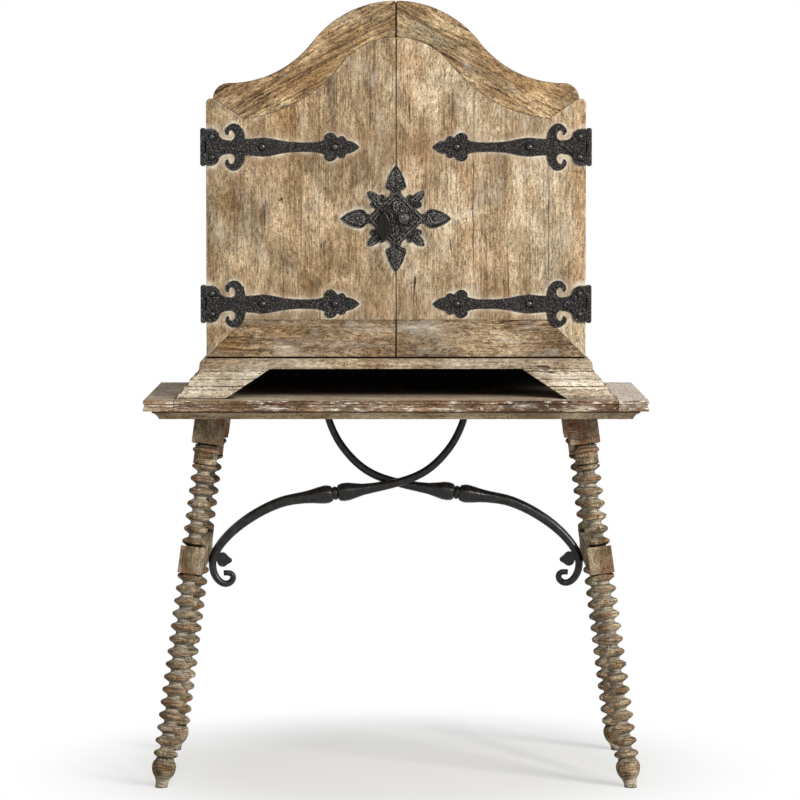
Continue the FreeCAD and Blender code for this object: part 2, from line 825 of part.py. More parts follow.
def case_hinge_leaf(level):
    """The leaf on the case side, with the middle knuckle."""
    z = door_bottom + level
    half_middle, outer = knuckle_split()
    leaf_front = hinge_y + barrel_radius + gap
    leaf_inside = case_half_width
    leaf_outside = case_half_width + case_leaf_thickness
    leaf_back = hinge_y + case_leaf_length
    plate = box((leaf_inside, leaf_front, z - shield_rise), (leaf_outside, leaf_back, z + shield_rise))
    tab = box((leaf_inside, hinge_y, z - half_middle), (leaf_outside, leaf_front, z + half_middle))
    knuckle = cylinder(barrel_radius, V(hinge_x, hinge_y, z - half_middle), V(0, 0, 2 * half_middle))
    bore = cylinder(pin_radius + running_gap, V(hinge_x, hinge_y, z - shield_rise), V(0, 0, 2 * shield_rise))
    holes = [leaf_screw_hole(place) for place in leaf_screw_places()]
    return plate.fuse([tab, knuckle]).cut([bore] + holes).removeSplitter()


def case_hinge_leaves():
    leaves = [case_hinge_leaf(level) for level in strap_levels]
    return group(leaves + [mirrored(leaf) for leaf in leaves])


def hinge_pins():
    pins = []
    for level in strap_levels:
        z = door_bottom + level
        reach = shield_rise + gap
        pin = cylinder(pin_radius, V(hinge_x, hinge_y, z - reach), V(0, 0, 2 * reach))
        heads = [cylinder(pin_head_radius, V(hinge_x, hinge_y, z + end * reach),
                          V(0, 0, end * pin_head_height)) for end in (-1, 1)]
        pins.append(pin.fuse(heads).removeSplitter())
    return group(pins + [mirrored(pin) for pin in pins])


def leaf_screws():
    screws = [fastener(place, V(1, 0, 0), leaf_screw_radius, leaf_screw_height, stud_shank_radius,
                       case_leaf_thickness + leaf_screw_depth) for place in leaf_screw_places()]
    return group(screws + [mirrored(screw) for screw in screws])


# Half outlines of the iron plates, from the door's edge inwards, as shares of length and rise
strap_shares = [
    (0.031, 0.0), (0.031, 0.48), (0.085, 0.47), (0.108, 0.35, 0.144, 0.30), (0.191, 0.48, 0.181, 0.66),
    (0.165, 0.735, 0.151, 0.68),
    (0.147, 0.52), (0.137, 0.53), (0.125, 0.70, 0.139, 0.875), (0.1875, 1.02, 0.227, 0.86),
    (0.247, 0.645, 0.253, 0.345), (0.309, 0.37, 0.367, 0.41), (0.425, 0.365, 0.49, 0.275),
    (0.5625, 0.215, 0.665, 0.204), (0.725, 0.225, 0.772, 0.31), (0.769, 0.427),
    (0.819, 0.615, 0.851, 0.427), (0.8625, 0.396), (0.891, 0.475, 0.908, 0.344), (0.9125, 0.29),
    (0.9625, 0.198, 1.0, 0.0)]
shield_shares = [
    (0.0, 0.0), (0.0, 1.0), (0.24, 1.0), (0.52, 0.83, 0.575, 0.50), (0.575, 0.36), (0.64, 0.28),
    (0.84, 0.20, 1.0, 0.0)]
lock_shares = [
    (0.0, 0.0), (0.0, 1.0), (0.112, 0.83, 0.177, 0.634), (0.181, 0.576, 0.129, 0.54), (0.0845, 0.527),
    (0.103, 0.446, 0.207, 0.366), (0.228, 0.446, 0.302, 0.41), (0.388, 0.49, 0.509, 0.509),
    (0.491, 0.393, 0.405, 0.32), (0.466, 0.277, 0.44, 0.205), (0.362, 0.196), (0.405, 0.116, 0.50, 0.085),
    (0.526, 0.089), (0.586, 0.161, 0.672, 0.174), (0.845, 0.116, 1.0, 0.0)]


def two_halves(half, level):
    """A plate and its mirror image below a level."""
    return half.fuse(half.mirror(V(0, 0, level), V(0, 0, 1))).removeSplitter()


def strap(level):
    z = door_bottom + level
    half = prism(scaled(strap_shares, strap_length, strap_rise),
                 lambda along, rise: V(door_edge - along, door_front, z + rise), V(0, -strap_thickness, 0))
    return two_halves(half, z)


def hinge_plate(level):
    """The shield over the strap's root, with the door's two knuckles."""
    z = door_bottom + level
    half_middle, outer = knuckle_split()
    edge = door_edge - shield_edge_gap
    half = prism(scaled(shield_shares, shield_length, shield_rise),
                 lambda along, rise: V(edge - along, door_front, z + rise), V(0, -shield_thickness, 0))
    plate = two_halves(half, z).cut(strap(level))
    height = shield_rise - outer
    extras = []
    for bottom in (z - shield_rise, z + outer):
        extras.append(cylinder(barrel_radius, V(hinge_x, hinge_y, bottom), V(0, 0, height)))
        extras.append(box((edge - barrel_radius, hinge_y - barrel_radius, bottom),
                          (hinge_x, hinge_y - barrel_radius / 2, bottom + height)))
    bore = cylinder(pin_radius + running_gap, V(hinge_x, hinge_y, z - shield_rise), V(0, 0, 2 * shield_rise))
    return plate.fuse(extras).cut(bore).removeSplitter()


def stud_places(side):
    """Each stud's seat on one door, with its head's radius and height."""
    places = []
    for level in strap_levels:
        z = door_bottom + level
        for along in (strap_stud_outer, strap_stud_inner):
            places.append((V(door_edge - along, door_front - strap_thickness, z),
                           (strap_stud_radius, strap_stud_height)))
        for rise in (-shield_bolt_rise, shield_bolt_rise):
            seat = V(door_edge - shield_bolt_place, door_front - shield_thickness, z + rise)
            places.append((seat, (shield_bolt_radius, shield_bolt_height)))
    for x, rise in ((lock_stud_place, 0), (lock_stud_inset, side * lock_stud_rise)):
        places.append((V(x, lock_front, lock_z + rise), (lock_stud_radius, lock_stud_height)))
    return places


def studs(side):
    return group([fastener(place, V(0, -1, 0), *size, stud_shank_radius, stud_shank_depth)
                  for place, size in stud_places(side)])


def stud_holes(side):
    return [shank_hole(place, V(0, -1, 0), stud_shank_radius, stud_shank_depth, overrun)
            for place, size in stud_places(side)]


def diamond(reach, front):
    """A square that stands on its corner, round the lock's centre."""
    corners = [V(reach, front, lock_z), V(0, front, lock_z + reach), V(-reach, front, lock_z),
               V(0, front, lock_z - reach)]
    return Part.Wire(Part.makePolygon(corners + corners[:1]))


def lock_plate():
    """The right half of the star, with its raised middle."""
    quarter = prism(scaled(lock_shares, lock_reach, lock_rise),
                    lambda along, rise: V(along, door_front, lock_z + rise), V(0, -lock_thickness, 0))
    star = two_halves(quarter, lock_z)
    raised = Part.makeLoft([diamond(lock_raise_reach, lock_front),
                            diamond(lock_raise_reach - lock_raise_slope, raised_front)], True, True)
    beyond_seam = box((-2 * lock_reach, raised_front - overrun, lock_z - 2 * lock_rise),
                      (seam_gap / 2, door_front + overrun, lock_z + 2 * lock_rise))
    return star.fuse(raised).cut(beyond_seam).removeSplitter()


def lock_boss():
    boss = cylinder(boss_radius, V(boss_x, raised_front, lock_z), V(0, -boss_height, 0))
    rim = [edge for edge in boss.Edges if edge.BoundBox.YMax < raised_front - boss_height / 2]
    return boss.makeFillet(boss_rounding, rim)


# The hanging pull and its bracket, on the left half of the lock
pull_shares = [
    (0.0, 0.0), (0.17, 0.0), (0.17, -0.13), (0.75, -0.30, 1.0, -0.56), (0.85, -0.80, 0.25, -0.94),
    (0.14, -0.985, 0.0, -1.0)]


def drop_pull():
    half = prism(scaled(pull_shares, pull_width / 2, pull_drop),
                 lambda along, rise: V(along - pull_x, pull_y - pull_thickness / 2, pull_z + rise),
                 V(0, pull_thickness, 0))
    body = half.fuse(half.mirror(V(-pull_x, 0, 0), V(1, 0, 0)))
    eye_start = V(-pull_x - pull_thickness / 2, pull_y, pull_z)
    eye = cylinder(pull_eye_radius, eye_start, V(pull_thickness, 0, 0))
    bore = cylinder(pull_pin_radius + running_gap, eye_start - V(overrun, 0, 0),
                    V(pull_thickness + 2 * overrun, 0, 0))
    return body.fuse(eye).cut(bore).removeSplitter()


def pull_bracket():
    """Two lugs with a pin between them."""
    inside = pull_thickness / 2 + gap
    lugs = [box((side * inside - pull_x - (lug_thickness if side < 0 else 0), pull_y - pull_eye_radius,
                 pull_z - lug_width / 2),
                (side * inside - pull_x + (lug_thickness if side > 0 else 0), raised_front,
                 pull_z + lug_width / 2)) for side in (-1, 1)]
    pin = cylinder(pull_pin_radius, V(-pull_x - inside, pull_y, pull_z), V(2 * inside, 0, 0))
    return lugs[0].fuse([lugs[1], pin]).removeSplitter()


# The magnets in the case and the plates on the doors
def door_magnets():
    front = door_back + strike_thickness + gap
    magnet = box((magnet_x - magnet_length / 2, front, floor_top),
                 (magnet_x + magnet_length / 2, front + magnet_depth, floor_top + magnet_height))
    return group([magnet, mirrored(magnet)])


def strike_plate():
    low = floor_top + (magnet_height - strike_height) / 2
    return box((magnet_x - strike_length / 2, door_back, low),
               (magnet_x + strike_length / 2, door_back + strike_thickness, low + strike_height))


# The doors
def door_board(points, side):
    """A board of the right door with the stud holes that reach it."""
    board = prism(points, lambda x, z: V(x, door_front, z), V(0, door_thickness, 0))
    return board.cut(stud_holes(side))


def door_boards(side):
    seam = seam_gap / 2
    band_foot = crest_z(stile_inside, crest_band)
    shoulder_x = step_x + shoulder_step
    shoulder = (shoulder_x + shoulder_radius * math.sqrt(0.5), shoulder_z + shoulder_radius * math.sqrt(0.5),
                shoulder_x, step_z)
    return {
        "plank_inner": door_board(
            [(seam, rail_top), (plank_joint_x, rail_top), (plank_joint_x, crest_z(plank_joint_x, crest_band))]
            + crest_steps(plank_joint_x, seam, crest_band), side),
        "plank_outer": door_board(
            [(plank_joint_x, rail_top), (stile_inside, rail_top), (stile_inside, band_foot)]
            + crest_steps(stile_inside, plank_joint_x, crest_band), side),
        "bottom_rail": door_board(
            [(seam, door_bottom), (door_edge, door_bottom), (stile_inside, rail_top), (seam, rail_top)], side),
        "stile": door_board(
            [(stile_inside, rail_top), (door_edge, door_bottom), (door_edge, shoulder_z), shoulder,
             (step_x, step_z), (stile_inside, band_foot)], side),
        "crest_rail": door_board(
            [(seam, crest_z(seam, 0))] + crest_steps(seam, crest_half_span, 0)
            + [round_corner(crest_half_span, step_z, ovolo_reach, ovolo_drop), (stile_inside, band_foot)]
            + crest_steps(stile_inside, seam, crest_band), side)}


def door(side):
    """Every piece of one door, built as the right door and mirrored for the left."""
    pieces = door_boards(side)
    holes = stud_holes(side)
    pieces["straps"] = group([strap(level).cut(holes) for level in strap_levels])
    pieces["hinge_plates"] = group([hinge_plate(level).cut(holes) for level in strap_levels])
    pieces["lock_plate"] = lock_plate().cut(holes)
    pieces["studs"] = studs(side)
    pieces["strike_plate"] = strike_plate()
    name = "right" if side > 0 else "left"
    return {name + "_" + piece: shape if side > 0 else mirrored(shape) for piece, shape in pieces.items()}


def build():
    parts = {}
    front, middle, rear = table_planks()
    parts["table_plank_front"] = front
    parts["table_plank_middle"] = drill_top(middle)
    parts["table_plank_rear"] = rear
    parts["table_moulding"] = table_moulding()
    for side, name in ((-1, "left"), (1, "right")):
        end_board, cleat = table_end(), leg_cleat()
        parts["table_end_" + name] = end_board if side > 0 else mirrored(end_board)
        parts["leg_cleat_" + name] = cleat if side > 0 else mirrored(cleat)
        parts["side_stretcher_" + name] = side_stretcher(side)
        for end, place in ((-1, "front"), (1, "rear")):
            parts["leg_" + place + "_" + name] = leg(side, end)
        carcass, roof = carcass_side(), case_roof()
        parts["carcass_side_" + name] = carcass if side > 0 else mirrored(carcass)
        parts["roof_" + name] = roof if side > 0 else mirrored(roof)
        parts.update(door(side))
    parts["brace_front"] = brace(-1)
    parts["brace_rear"] = brace(1)
    parts["brace_screws"] = brace_screws()
    parts.update(chest_feet())
    parts["plinth_back"] = plinth_back()
    parts["base_moulding"] = base_moulding()
    parts["carcass_floor"] = carcass_floor()
    parts["carcass_back"] = carcass_back()
    parts["arch_rail"] = arch_rail()
    parts["shelf_lower"] = shelf(shelf_levels[0])
    parts["shelf_upper"] = shelf(shelf_levels[1])
    parts["shelf_pins"] = shelf_pins()
    parts["case_hinge_leaves"] = case_hinge_leaves()
    parts["hinge_pins"] = hinge_pins()
    parts["leaf_screws"] = leaf_screws()
    parts["door_magnets"] = door_magnets()
    parts["lock_boss"] = lock_boss()
    parts["pull_bracket"] = pull_bracket()
    parts["drop_pull"] = drop_pull()
    return parts


def write(parts):
    os.makedirs("parts", exist_ok=True)
    for name, shape in parts.items():
        shape.exportStep("parts/" + name + ".step")
        print(name, len(shape.Solids), round(shape.Volume), shape.isValid())


write(build())
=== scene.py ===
# A weathered two-door chest on a spool-turned stand: its woods, forged iron, lamps and camera (metres).
import json
import math

import bmesh
import bpy
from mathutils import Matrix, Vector


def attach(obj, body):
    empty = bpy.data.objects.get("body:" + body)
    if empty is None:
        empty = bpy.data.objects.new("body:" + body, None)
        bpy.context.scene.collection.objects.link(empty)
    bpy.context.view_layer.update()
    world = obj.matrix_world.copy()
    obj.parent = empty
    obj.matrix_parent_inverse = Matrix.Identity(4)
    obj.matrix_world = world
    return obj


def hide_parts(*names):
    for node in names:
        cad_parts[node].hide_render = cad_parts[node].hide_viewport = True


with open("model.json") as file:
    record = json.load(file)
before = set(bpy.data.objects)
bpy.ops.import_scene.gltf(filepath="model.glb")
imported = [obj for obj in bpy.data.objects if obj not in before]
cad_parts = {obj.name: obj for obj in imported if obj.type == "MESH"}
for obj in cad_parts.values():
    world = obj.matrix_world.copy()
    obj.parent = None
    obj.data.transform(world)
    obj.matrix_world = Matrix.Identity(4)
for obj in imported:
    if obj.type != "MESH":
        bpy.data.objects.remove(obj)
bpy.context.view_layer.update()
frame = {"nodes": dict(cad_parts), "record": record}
nodes = frame["nodes"]
record = frame["record"]
body_of = {node: body for body, members in record["behaviour"]["bodies"].items() for node in members}

MM = 0.001

# Places that the looks share with the solids; the square blocks lie so far down the leg
LEG_TOP = Vector((0.389, 0.133, 0.772))
LEG_FOOT = Vector((0.490, 0.228, 0.0))
LEG_BLOCKS = ((0.0, 0.062), (0.279, 0.336))
LEG_RING_RADIUS = 25.4 * MM
LEG_VALLEY_RADIUS = 12.8 * MM
LOCK_CENTRE = Vector((0.0, -0.1865, 1.186))


# Colours are written as sRGB hex and turned to linear here
def tone(hex_code):
    parts = [int(hex_code[i:i + 2], 16) / 255 for i in (1, 3, 5)]
    return tuple(c / 12.92 if c <= 0.04045 else ((c + 0.055) / 1.055) ** 2.4 for c in parts) + (1.0,)


def put(tree, kind, settings, inputs=None):
    """Adds a node: its settings, then its inputs as plain values or as links."""
    made = tree.nodes.new(kind)
    for name, value in settings.items():
        if name == "stops":
            line = made.color_ramp
            line.elements[0].position, line.elements[0].color = value[0][0], tone(value[0][1])
            line.elements[1].position, line.elements[1].color = value[-1][0], tone(value[-1][1])
            for place, code in value[1:-1]:
                line.elements.new(place).color = tone(code)
        else:
            setattr(made, name, value)
    for name, value in (inputs or {}).items():
        if isinstance(value, bpy.types.NodeSocket):
            tree.links.new(value, made.inputs[name])
        else:
            made.inputs[name].default_value = value
    return made


def finish_of(name, roughness, metallic=0.0):
    """An empty finish: its tree, its shader and the object's own coordinates."""
    material = bpy.data.materials.new(name)
    material.use_nodes = True
    tree = material.node_tree
    shader = tree.nodes["Principled BSDF"]
    shader.inputs["Roughness"].default_value = roughness
    shader.inputs["Metallic"].default_value = metallic
    place = put(tree, "ShaderNodeTexCoord", {}).outputs["Object"]
    return material, tree, shader, place


# How far a crack sways to each side, and how far the dirt and painted shade reach out of a corner of the wood
# and of the iron
CRACK_SWAY = 4 * MM
SHADE_AND_DIRT_REACH = 14 * MM
IRON_SHADE_AND_DIRT_REACH = 8 * MM

WHITE = "#ffffff"
RUBBED_RING = "#7a5236"
LIME_IN_HOLLOWS = "#b9af9c"
IRON_STAIN = "#7d6040"
# Colour of the shadow painted on the table-top under the chest
SHADOW_UNDER_CHEST = "#110b07"
THIN_LIMEWASH = "#d3cab8"
LIME_FLAKE = "#e9e2d4"
LIME_AT_IRON = "#efe4cd"
DARK_MARK_BROWN = "#2b1d12"
# Dark colours of dirt and painted shade in corners and seams, of the wood and of the iron
CORNER_SHADE_AND_DIRT = "#2a1d12"
SEAM_DIRT_AND_SHADE = "#3a291a"
IRON_SHADE_AND_DIRT = "#070606"


def limed_rings(tree, place, shade):
    """Turned legs: limewash in the hollows, rings rubbed to a redder brown, and the tool's fine lines."""
    deep = put(tree, "ShaderNodeAttribute", {"attribute_name": "hollow"}).outputs["Fac"]
    along = put(tree, "ShaderNodeMapping", {}, {"Vector": place, "Scale": (30, 30, 22)}).outputs[0]
    patchy = put(tree, "ShaderNodeTexNoise", {}, {"Vector": along, "Scale": 1.0, "Detail": 6.0,
                                                  "Roughness": 0.7}).outputs[0]
    limed = put(tree, "ShaderNodeMath", {"operation": "MULTIPLY"}, {0: deep, 1: patchy}).outputs[0]
    limed = put(tree, "ShaderNodeMapRange", {}, {0: limed, 1: 0.20, 2: 0.56, 3: 0.0, 4: 0.8}).outputs[0]
    rubbed = put(tree, "ShaderNodeMath", {"operation": "SUBTRACT"}, {0: patchy, 1: deep}).outputs[0]
    rubbed = put(tree, "ShaderNodeMapRange", {}, {0: rubbed, 1: 0.40, 2: 0.56, 3: 0.0, 4: 0.75}).outputs[0]
    shade = put(tree, "ShaderNodeMix", {"data_type": "RGBA"},
                {0: rubbed, 6: shade, 7: tone(RUBBED_RING)}).outputs[2]
    shade = put(tree, "ShaderNodeMix", {"data_type": "RGBA"},
                {0: limed, 6: shade, 7: tone(LIME_IN_HOLLOWS)}).outputs[2]
    # The tool's lines run round the leg, 2 to 3 mm apart
    down = put(tree, "ShaderNodeAttribute", {"attribute_name": "down_leg"}).outputs["Fac"]
    down = put(tree, "ShaderNodeMath", {"operation": "MULTIPLY"}, {0: down, 1: 14.0}).outputs[0]
    apart = put(tree, "ShaderNodeSeparateXYZ", {}, {"Vector": place}).outputs
    round_leg = put(tree, "ShaderNodeCombineXYZ", {},
                    {"X": apart["X"], "Y": apart["Y"], "Z": down}).outputs[0]
    marks = put(tree, "ShaderNodeTexNoise", {}, {"Vector": round_leg, "Scale": 34.0, "Detail": 3.0,
                                                 "Roughness": 0.6}).outputs[0]
    marks = put(tree, "ShaderNodeMapRange", {}, {0: marks, 1: 0.42, 2: 0.58, 3: 0.4, 4: 1.45}).outputs[0]
    cut_round = put(tree, "ShaderNodeMath", {"operation": "GREATER_THAN"}, {0: down, 1: 0.0}).outputs[0]
    return put(tree, "ShaderNodeMix", {"data_type": "RGBA", "blend_type": "MULTIPLY"},
               {0: cut_round, 6: shade, 7: marks}).outputs[2]


def iron_stain(tree, place, tint, level, shade):
    """Brown stain that has crept out from under a strap at this height, in places 80 mm from it."""
    height = put(tree, "ShaderNodeSeparateXYZ", {}, {"Vector": place}).outputs["Z"]
    away = put(tree, "ShaderNodeMath", {"operation": "SUBTRACT"}, {0: height, 1: level}).outputs[0]
    away = put(tree, "ShaderNodeMath", {"operation": "ABSOLUTE"}, {0: away}).outputs[0]
    away = put(tree, "ShaderNodeMath", {"operation": "MULTIPLY_ADD"}, {0: tint, 1: 0.12, 2: away}).outputs[0]
    stain = put(tree, "ShaderNodeMapRange", {}, {0: away, 1: 0.12, 2: 0.07, 3: 0.0, 4: 0.35}).outputs[0]
    return put(tree, "ShaderNodeMix", {"data_type": "RGBA"},
               {0: stain, 6: shade, 7: tone(IRON_STAIN)}).outputs[2]


def painted_shadow_under_chest(tree, place, upward, shade):
    """A shadow painted on the table-top under the chest: soft limits beside, before and behind."""
    spot = put(tree, "ShaderNodeSeparateXYZ", {}, {"Vector": place}).outputs
    aside = put(tree, "ShaderNodeMath", {"operation": "ABSOLUTE"}, {0: spot["X"]}).outputs[0]
    shadowed = upward
    for way, bare, full in ((aside, 0.42, 0.33), (spot["Y"], -0.23, -0.06), (spot["Y"], 0.21, 0.15)):
        way = put(tree, "ShaderNodeMapRange", {}, {0: way, 1: bare, 2: full, 3: 0.0, 4: 1.0}).outputs[0]
        shadowed = put(tree, "ShaderNodeMath", {"operation": "MULTIPLY"}, {0: shadowed, 1: way}).outputs[0]
    return put(tree, "ShaderNodeMix", {"data_type": "RGBA"},
               {0: shadowed, 6: shade, 7: tone(SHADOW_UNDER_CHEST)}).outputs[2]


def worm_holes(tree, lay, specks):
    """Worm holes 1 to 3 mm wide, and short dark pores along the grain."""
    dark_marks = 0.0
    for scale, reach, share in (((85, 85, 85), 0.105, 0.6 * specks), ((190, 190, 90), 0.19, 0.3 * specks)):
        along = put(tree, "ShaderNodeMapping", {}, {"Vector": lay, "Scale": scale}).outputs[0]
        cell = put(tree, "ShaderNodeTexVoronoi", {"feature": "F1"}, {"Vector": along, "Scale": 1.0}).outputs
        lot = put(tree, "ShaderNodeSeparateXYZ", {}, {"Vector": cell["Color"]}).outputs
        chance = put(tree, "ShaderNodeMath", {"operation": "LESS_THAN"}, {0: lot["X"], 1: share}).outputs[0]
        wide = put(tree, "ShaderNodeMath", {"operation": "MULTIPLY"},
                   {0: lot["Y"], 1: reach * 1.6}).outputs[0]
        hole = put(tree, "ShaderNodeMath", {"operation": "LESS_THAN"},
                   {0: cell["Distance"], 1: wide}).outputs[0]
        hole = put(tree, "ShaderNodeMath", {"operation": "MULTIPLY"}, {0: hole, 1: chance}).outputs[0]
        dark_marks = put(tree, "ShaderNodeMath", {"operation": "MAXIMUM"}, {0: dark_marks, 1: hole}).outputs[0]
    return dark_marks


def thin_checks(tree, lay, bend, dark_marks):
    """Thin checks along the grain: level lines of a long noise, broken into lengths."""
    along = put(tree, "ShaderNodeMapping", {}, {"Vector": bend, "Scale": (46, 46, 1.2)}).outputs[0]
    slit = put(tree, "ShaderNodeTexNoise", {}, {"Vector": along, "Scale": 1.0, "Detail": 2.0,
                                                "Roughness": 0.4}).outputs[0]
    slit = put(tree, "ShaderNodeMath", {"operation": "SUBTRACT"}, {0: slit, 1: 0.5}).outputs[0]
    slit = put(tree, "ShaderNodeMath", {"operation": "ABSOLUTE"}, {0: slit}).outputs[0]
    along = put(tree, "ShaderNodeMapping", {}, {"Vector": lay, "Scale": (34, 34, 12)}).outputs[0]
    length = put(tree, "ShaderNodeTexNoise", {}, {"Vector": along, "Scale": 1.0, "Detail": 2.0}).outputs[0]
    width = put(tree, "ShaderNodeMapRange", {}, {0: length, 1: 0.56, 2: 0.75, 3: 0.0, 4: 0.011}).outputs[0]
    split = put(tree, "ShaderNodeMath", {"operation": "LESS_THAN"}, {0: slit, 1: width}).outputs[0]
    return put(tree, "ShaderNodeMath", {"operation": "MAXIMUM"}, {0: dark_marks, 1: split}).outputs[0]


def long_cracks(tree, place, cracks, dark_marks):
    """Long upright cracks: each has its x, its lowest and highest z and half its width in metres."""
    apart = put(tree, "ShaderNodeSeparateXYZ", {}, {"Vector": place}).outputs
    sway = put(tree, "ShaderNodeMapping", {}, {"Vector": place, "Scale": (0, 0, 22)}).outputs[0]
    sway = put(tree, "ShaderNodeTexNoise", {}, {"Vector": sway, "Scale": 1.0, "Detail": 4.0}).outputs[0]
    for x, low, high, half in cracks:
        off = put(tree, "ShaderNodeMath", {"operation": "MULTIPLY_ADD"},
                  {0: sway, 1: 2 * CRACK_SWAY, 2: -x - CRACK_SWAY}).outputs[0]
        off = put(tree, "ShaderNodeMath", {"operation": "ADD"}, {0: apart["X"], 1: off}).outputs[0]
        off = put(tree, "ShaderNodeMath", {"operation": "ABSOLUTE"}, {0: off}).outputs[0]
        part = put(tree, "ShaderNodeMapRange", {"clamp": False},
                   {0: apart["Z"], 1: low, 2: high, 3: -1.0, 4: 1.0}).outputs[0]
        part = put(tree, "ShaderNodeMath", {"operation": "MULTIPLY"}, {0: part, 1: part}).outputs[0]
        wide = put(tree, "ShaderNodeMath", {"operation": "MULTIPLY_ADD"},
                   {0: part, 1: -half, 2: half}).outputs[0]
        dark_line = put(tree, "ShaderNodeMath", {"operation": "LESS_THAN"}, {0: off, 1: wide}).outputs[0]
        dark_marks = put(tree, "ShaderNodeMath", {"operation": "MAXIMUM"}, {0: dark_marks, 1: dark_line}).outputs[0]
    return dark_marks


def painted_groove_shade(tree, place, fibre, shade_lines, dark_marks):
    """Painted shade in the quirks of a moulding: dark lines 1 to 2 mm wide, broken in places."""
    height = put(tree, "ShaderNodeSeparateXYZ", {}, {"Vector": place}).outputs["Z"]
    for level, wide in shade_lines:
        off = put(tree, "ShaderNodeMath", {"operation": "SUBTRACT"}, {0: height, 1: level * MM}).outputs[0]
        off = put(tree, "ShaderNodeMath", {"operation": "ABSOLUTE"}, {0: off}).outputs[0]
        wide = put(tree, "ShaderNodeMapRange", {},
                   {0: fibre, 1: 0.3, 2: 0.65, 3: wide * MM, 4: 0.0}).outputs[0]
        dark_line = put(tree, "ShaderNodeMath", {"operation": "LESS_THAN"}, {0: off, 1: wide}).outputs[0]
        dark_marks = put(tree, "ShaderNodeMath", {"operation": "MAXIMUM"}, {0: dark_marks, 1: dark_line}).outputs[0]
    return dark_marks


def painted_shade_and_dirt(tree, shade, veil, halo, seams):
    """Dirt and painted shade in corners, in seams and round the iron, and outside it a pale line of gathered
    limewash.
    """
    near = put(tree, "ShaderNodeAmbientOcclusion", {"samples": 6}, {"Distance": SHADE_AND_DIRT_REACH}).outputs["AO"]
    if halo:
        chalk = put(tree, "ShaderNodeMapRange", {}, {0: near, 1: 0.97, 2: 0.82, 3: 0.0, 4: halo}).outputs[0]
        patch = put(tree, "ShaderNodeMapRange", {}, {0: veil, 1: 0.40, 2: 0.58, 3: 0.1, 4: 1.0}).outputs[0]
        chalk = put(tree, "ShaderNodeMath", {"operation": "MULTIPLY"}, {0: chalk, 1: patch}).outputs[0]
        shade = put(tree, "ShaderNodeMix", {"data_type": "RGBA"},
                    {0: chalk, 6: shade, 7: tone(LIME_AT_IRON)}).outputs[2]
    # Painted shade and dirt: darker where the surroundings hide the room, in corners, under mouldings and
    # beside the iron
    shade_and_dirt = put(tree, "ShaderNodeMapRange", {},
               {0: near, 1: 0.70 if halo else 0.86, 2: 0.36, 3: 0.0, 4: 0.9}).outputs[0]
    shade = put(tree, "ShaderNodeMix", {"data_type": "RGBA"},
                {0: shade_and_dirt, 6: shade, 7: tone(CORNER_SHADE_AND_DIRT)}).outputs[2]
    # Worn corners are darkened too: dirt in the joints where boards meet, and painted shade lines such as the
    # one under the crest rail
    rim = put(tree, "ShaderNodeAttribute", {"attribute_name": "corner"}).outputs["Fac"]
    rim = put(tree, "ShaderNodeMapRange", {}, {0: rim, 1: 0.1, 2: 0.6, 3: 0.0, 4: seams}).outputs[0]
    return put(tree, "ShaderNodeMix", {"data_type": "RGBA"},
               {0: rim, 6: shade, 7: tone(SEAM_DIRT_AND_SHADE)}).outputs[2]


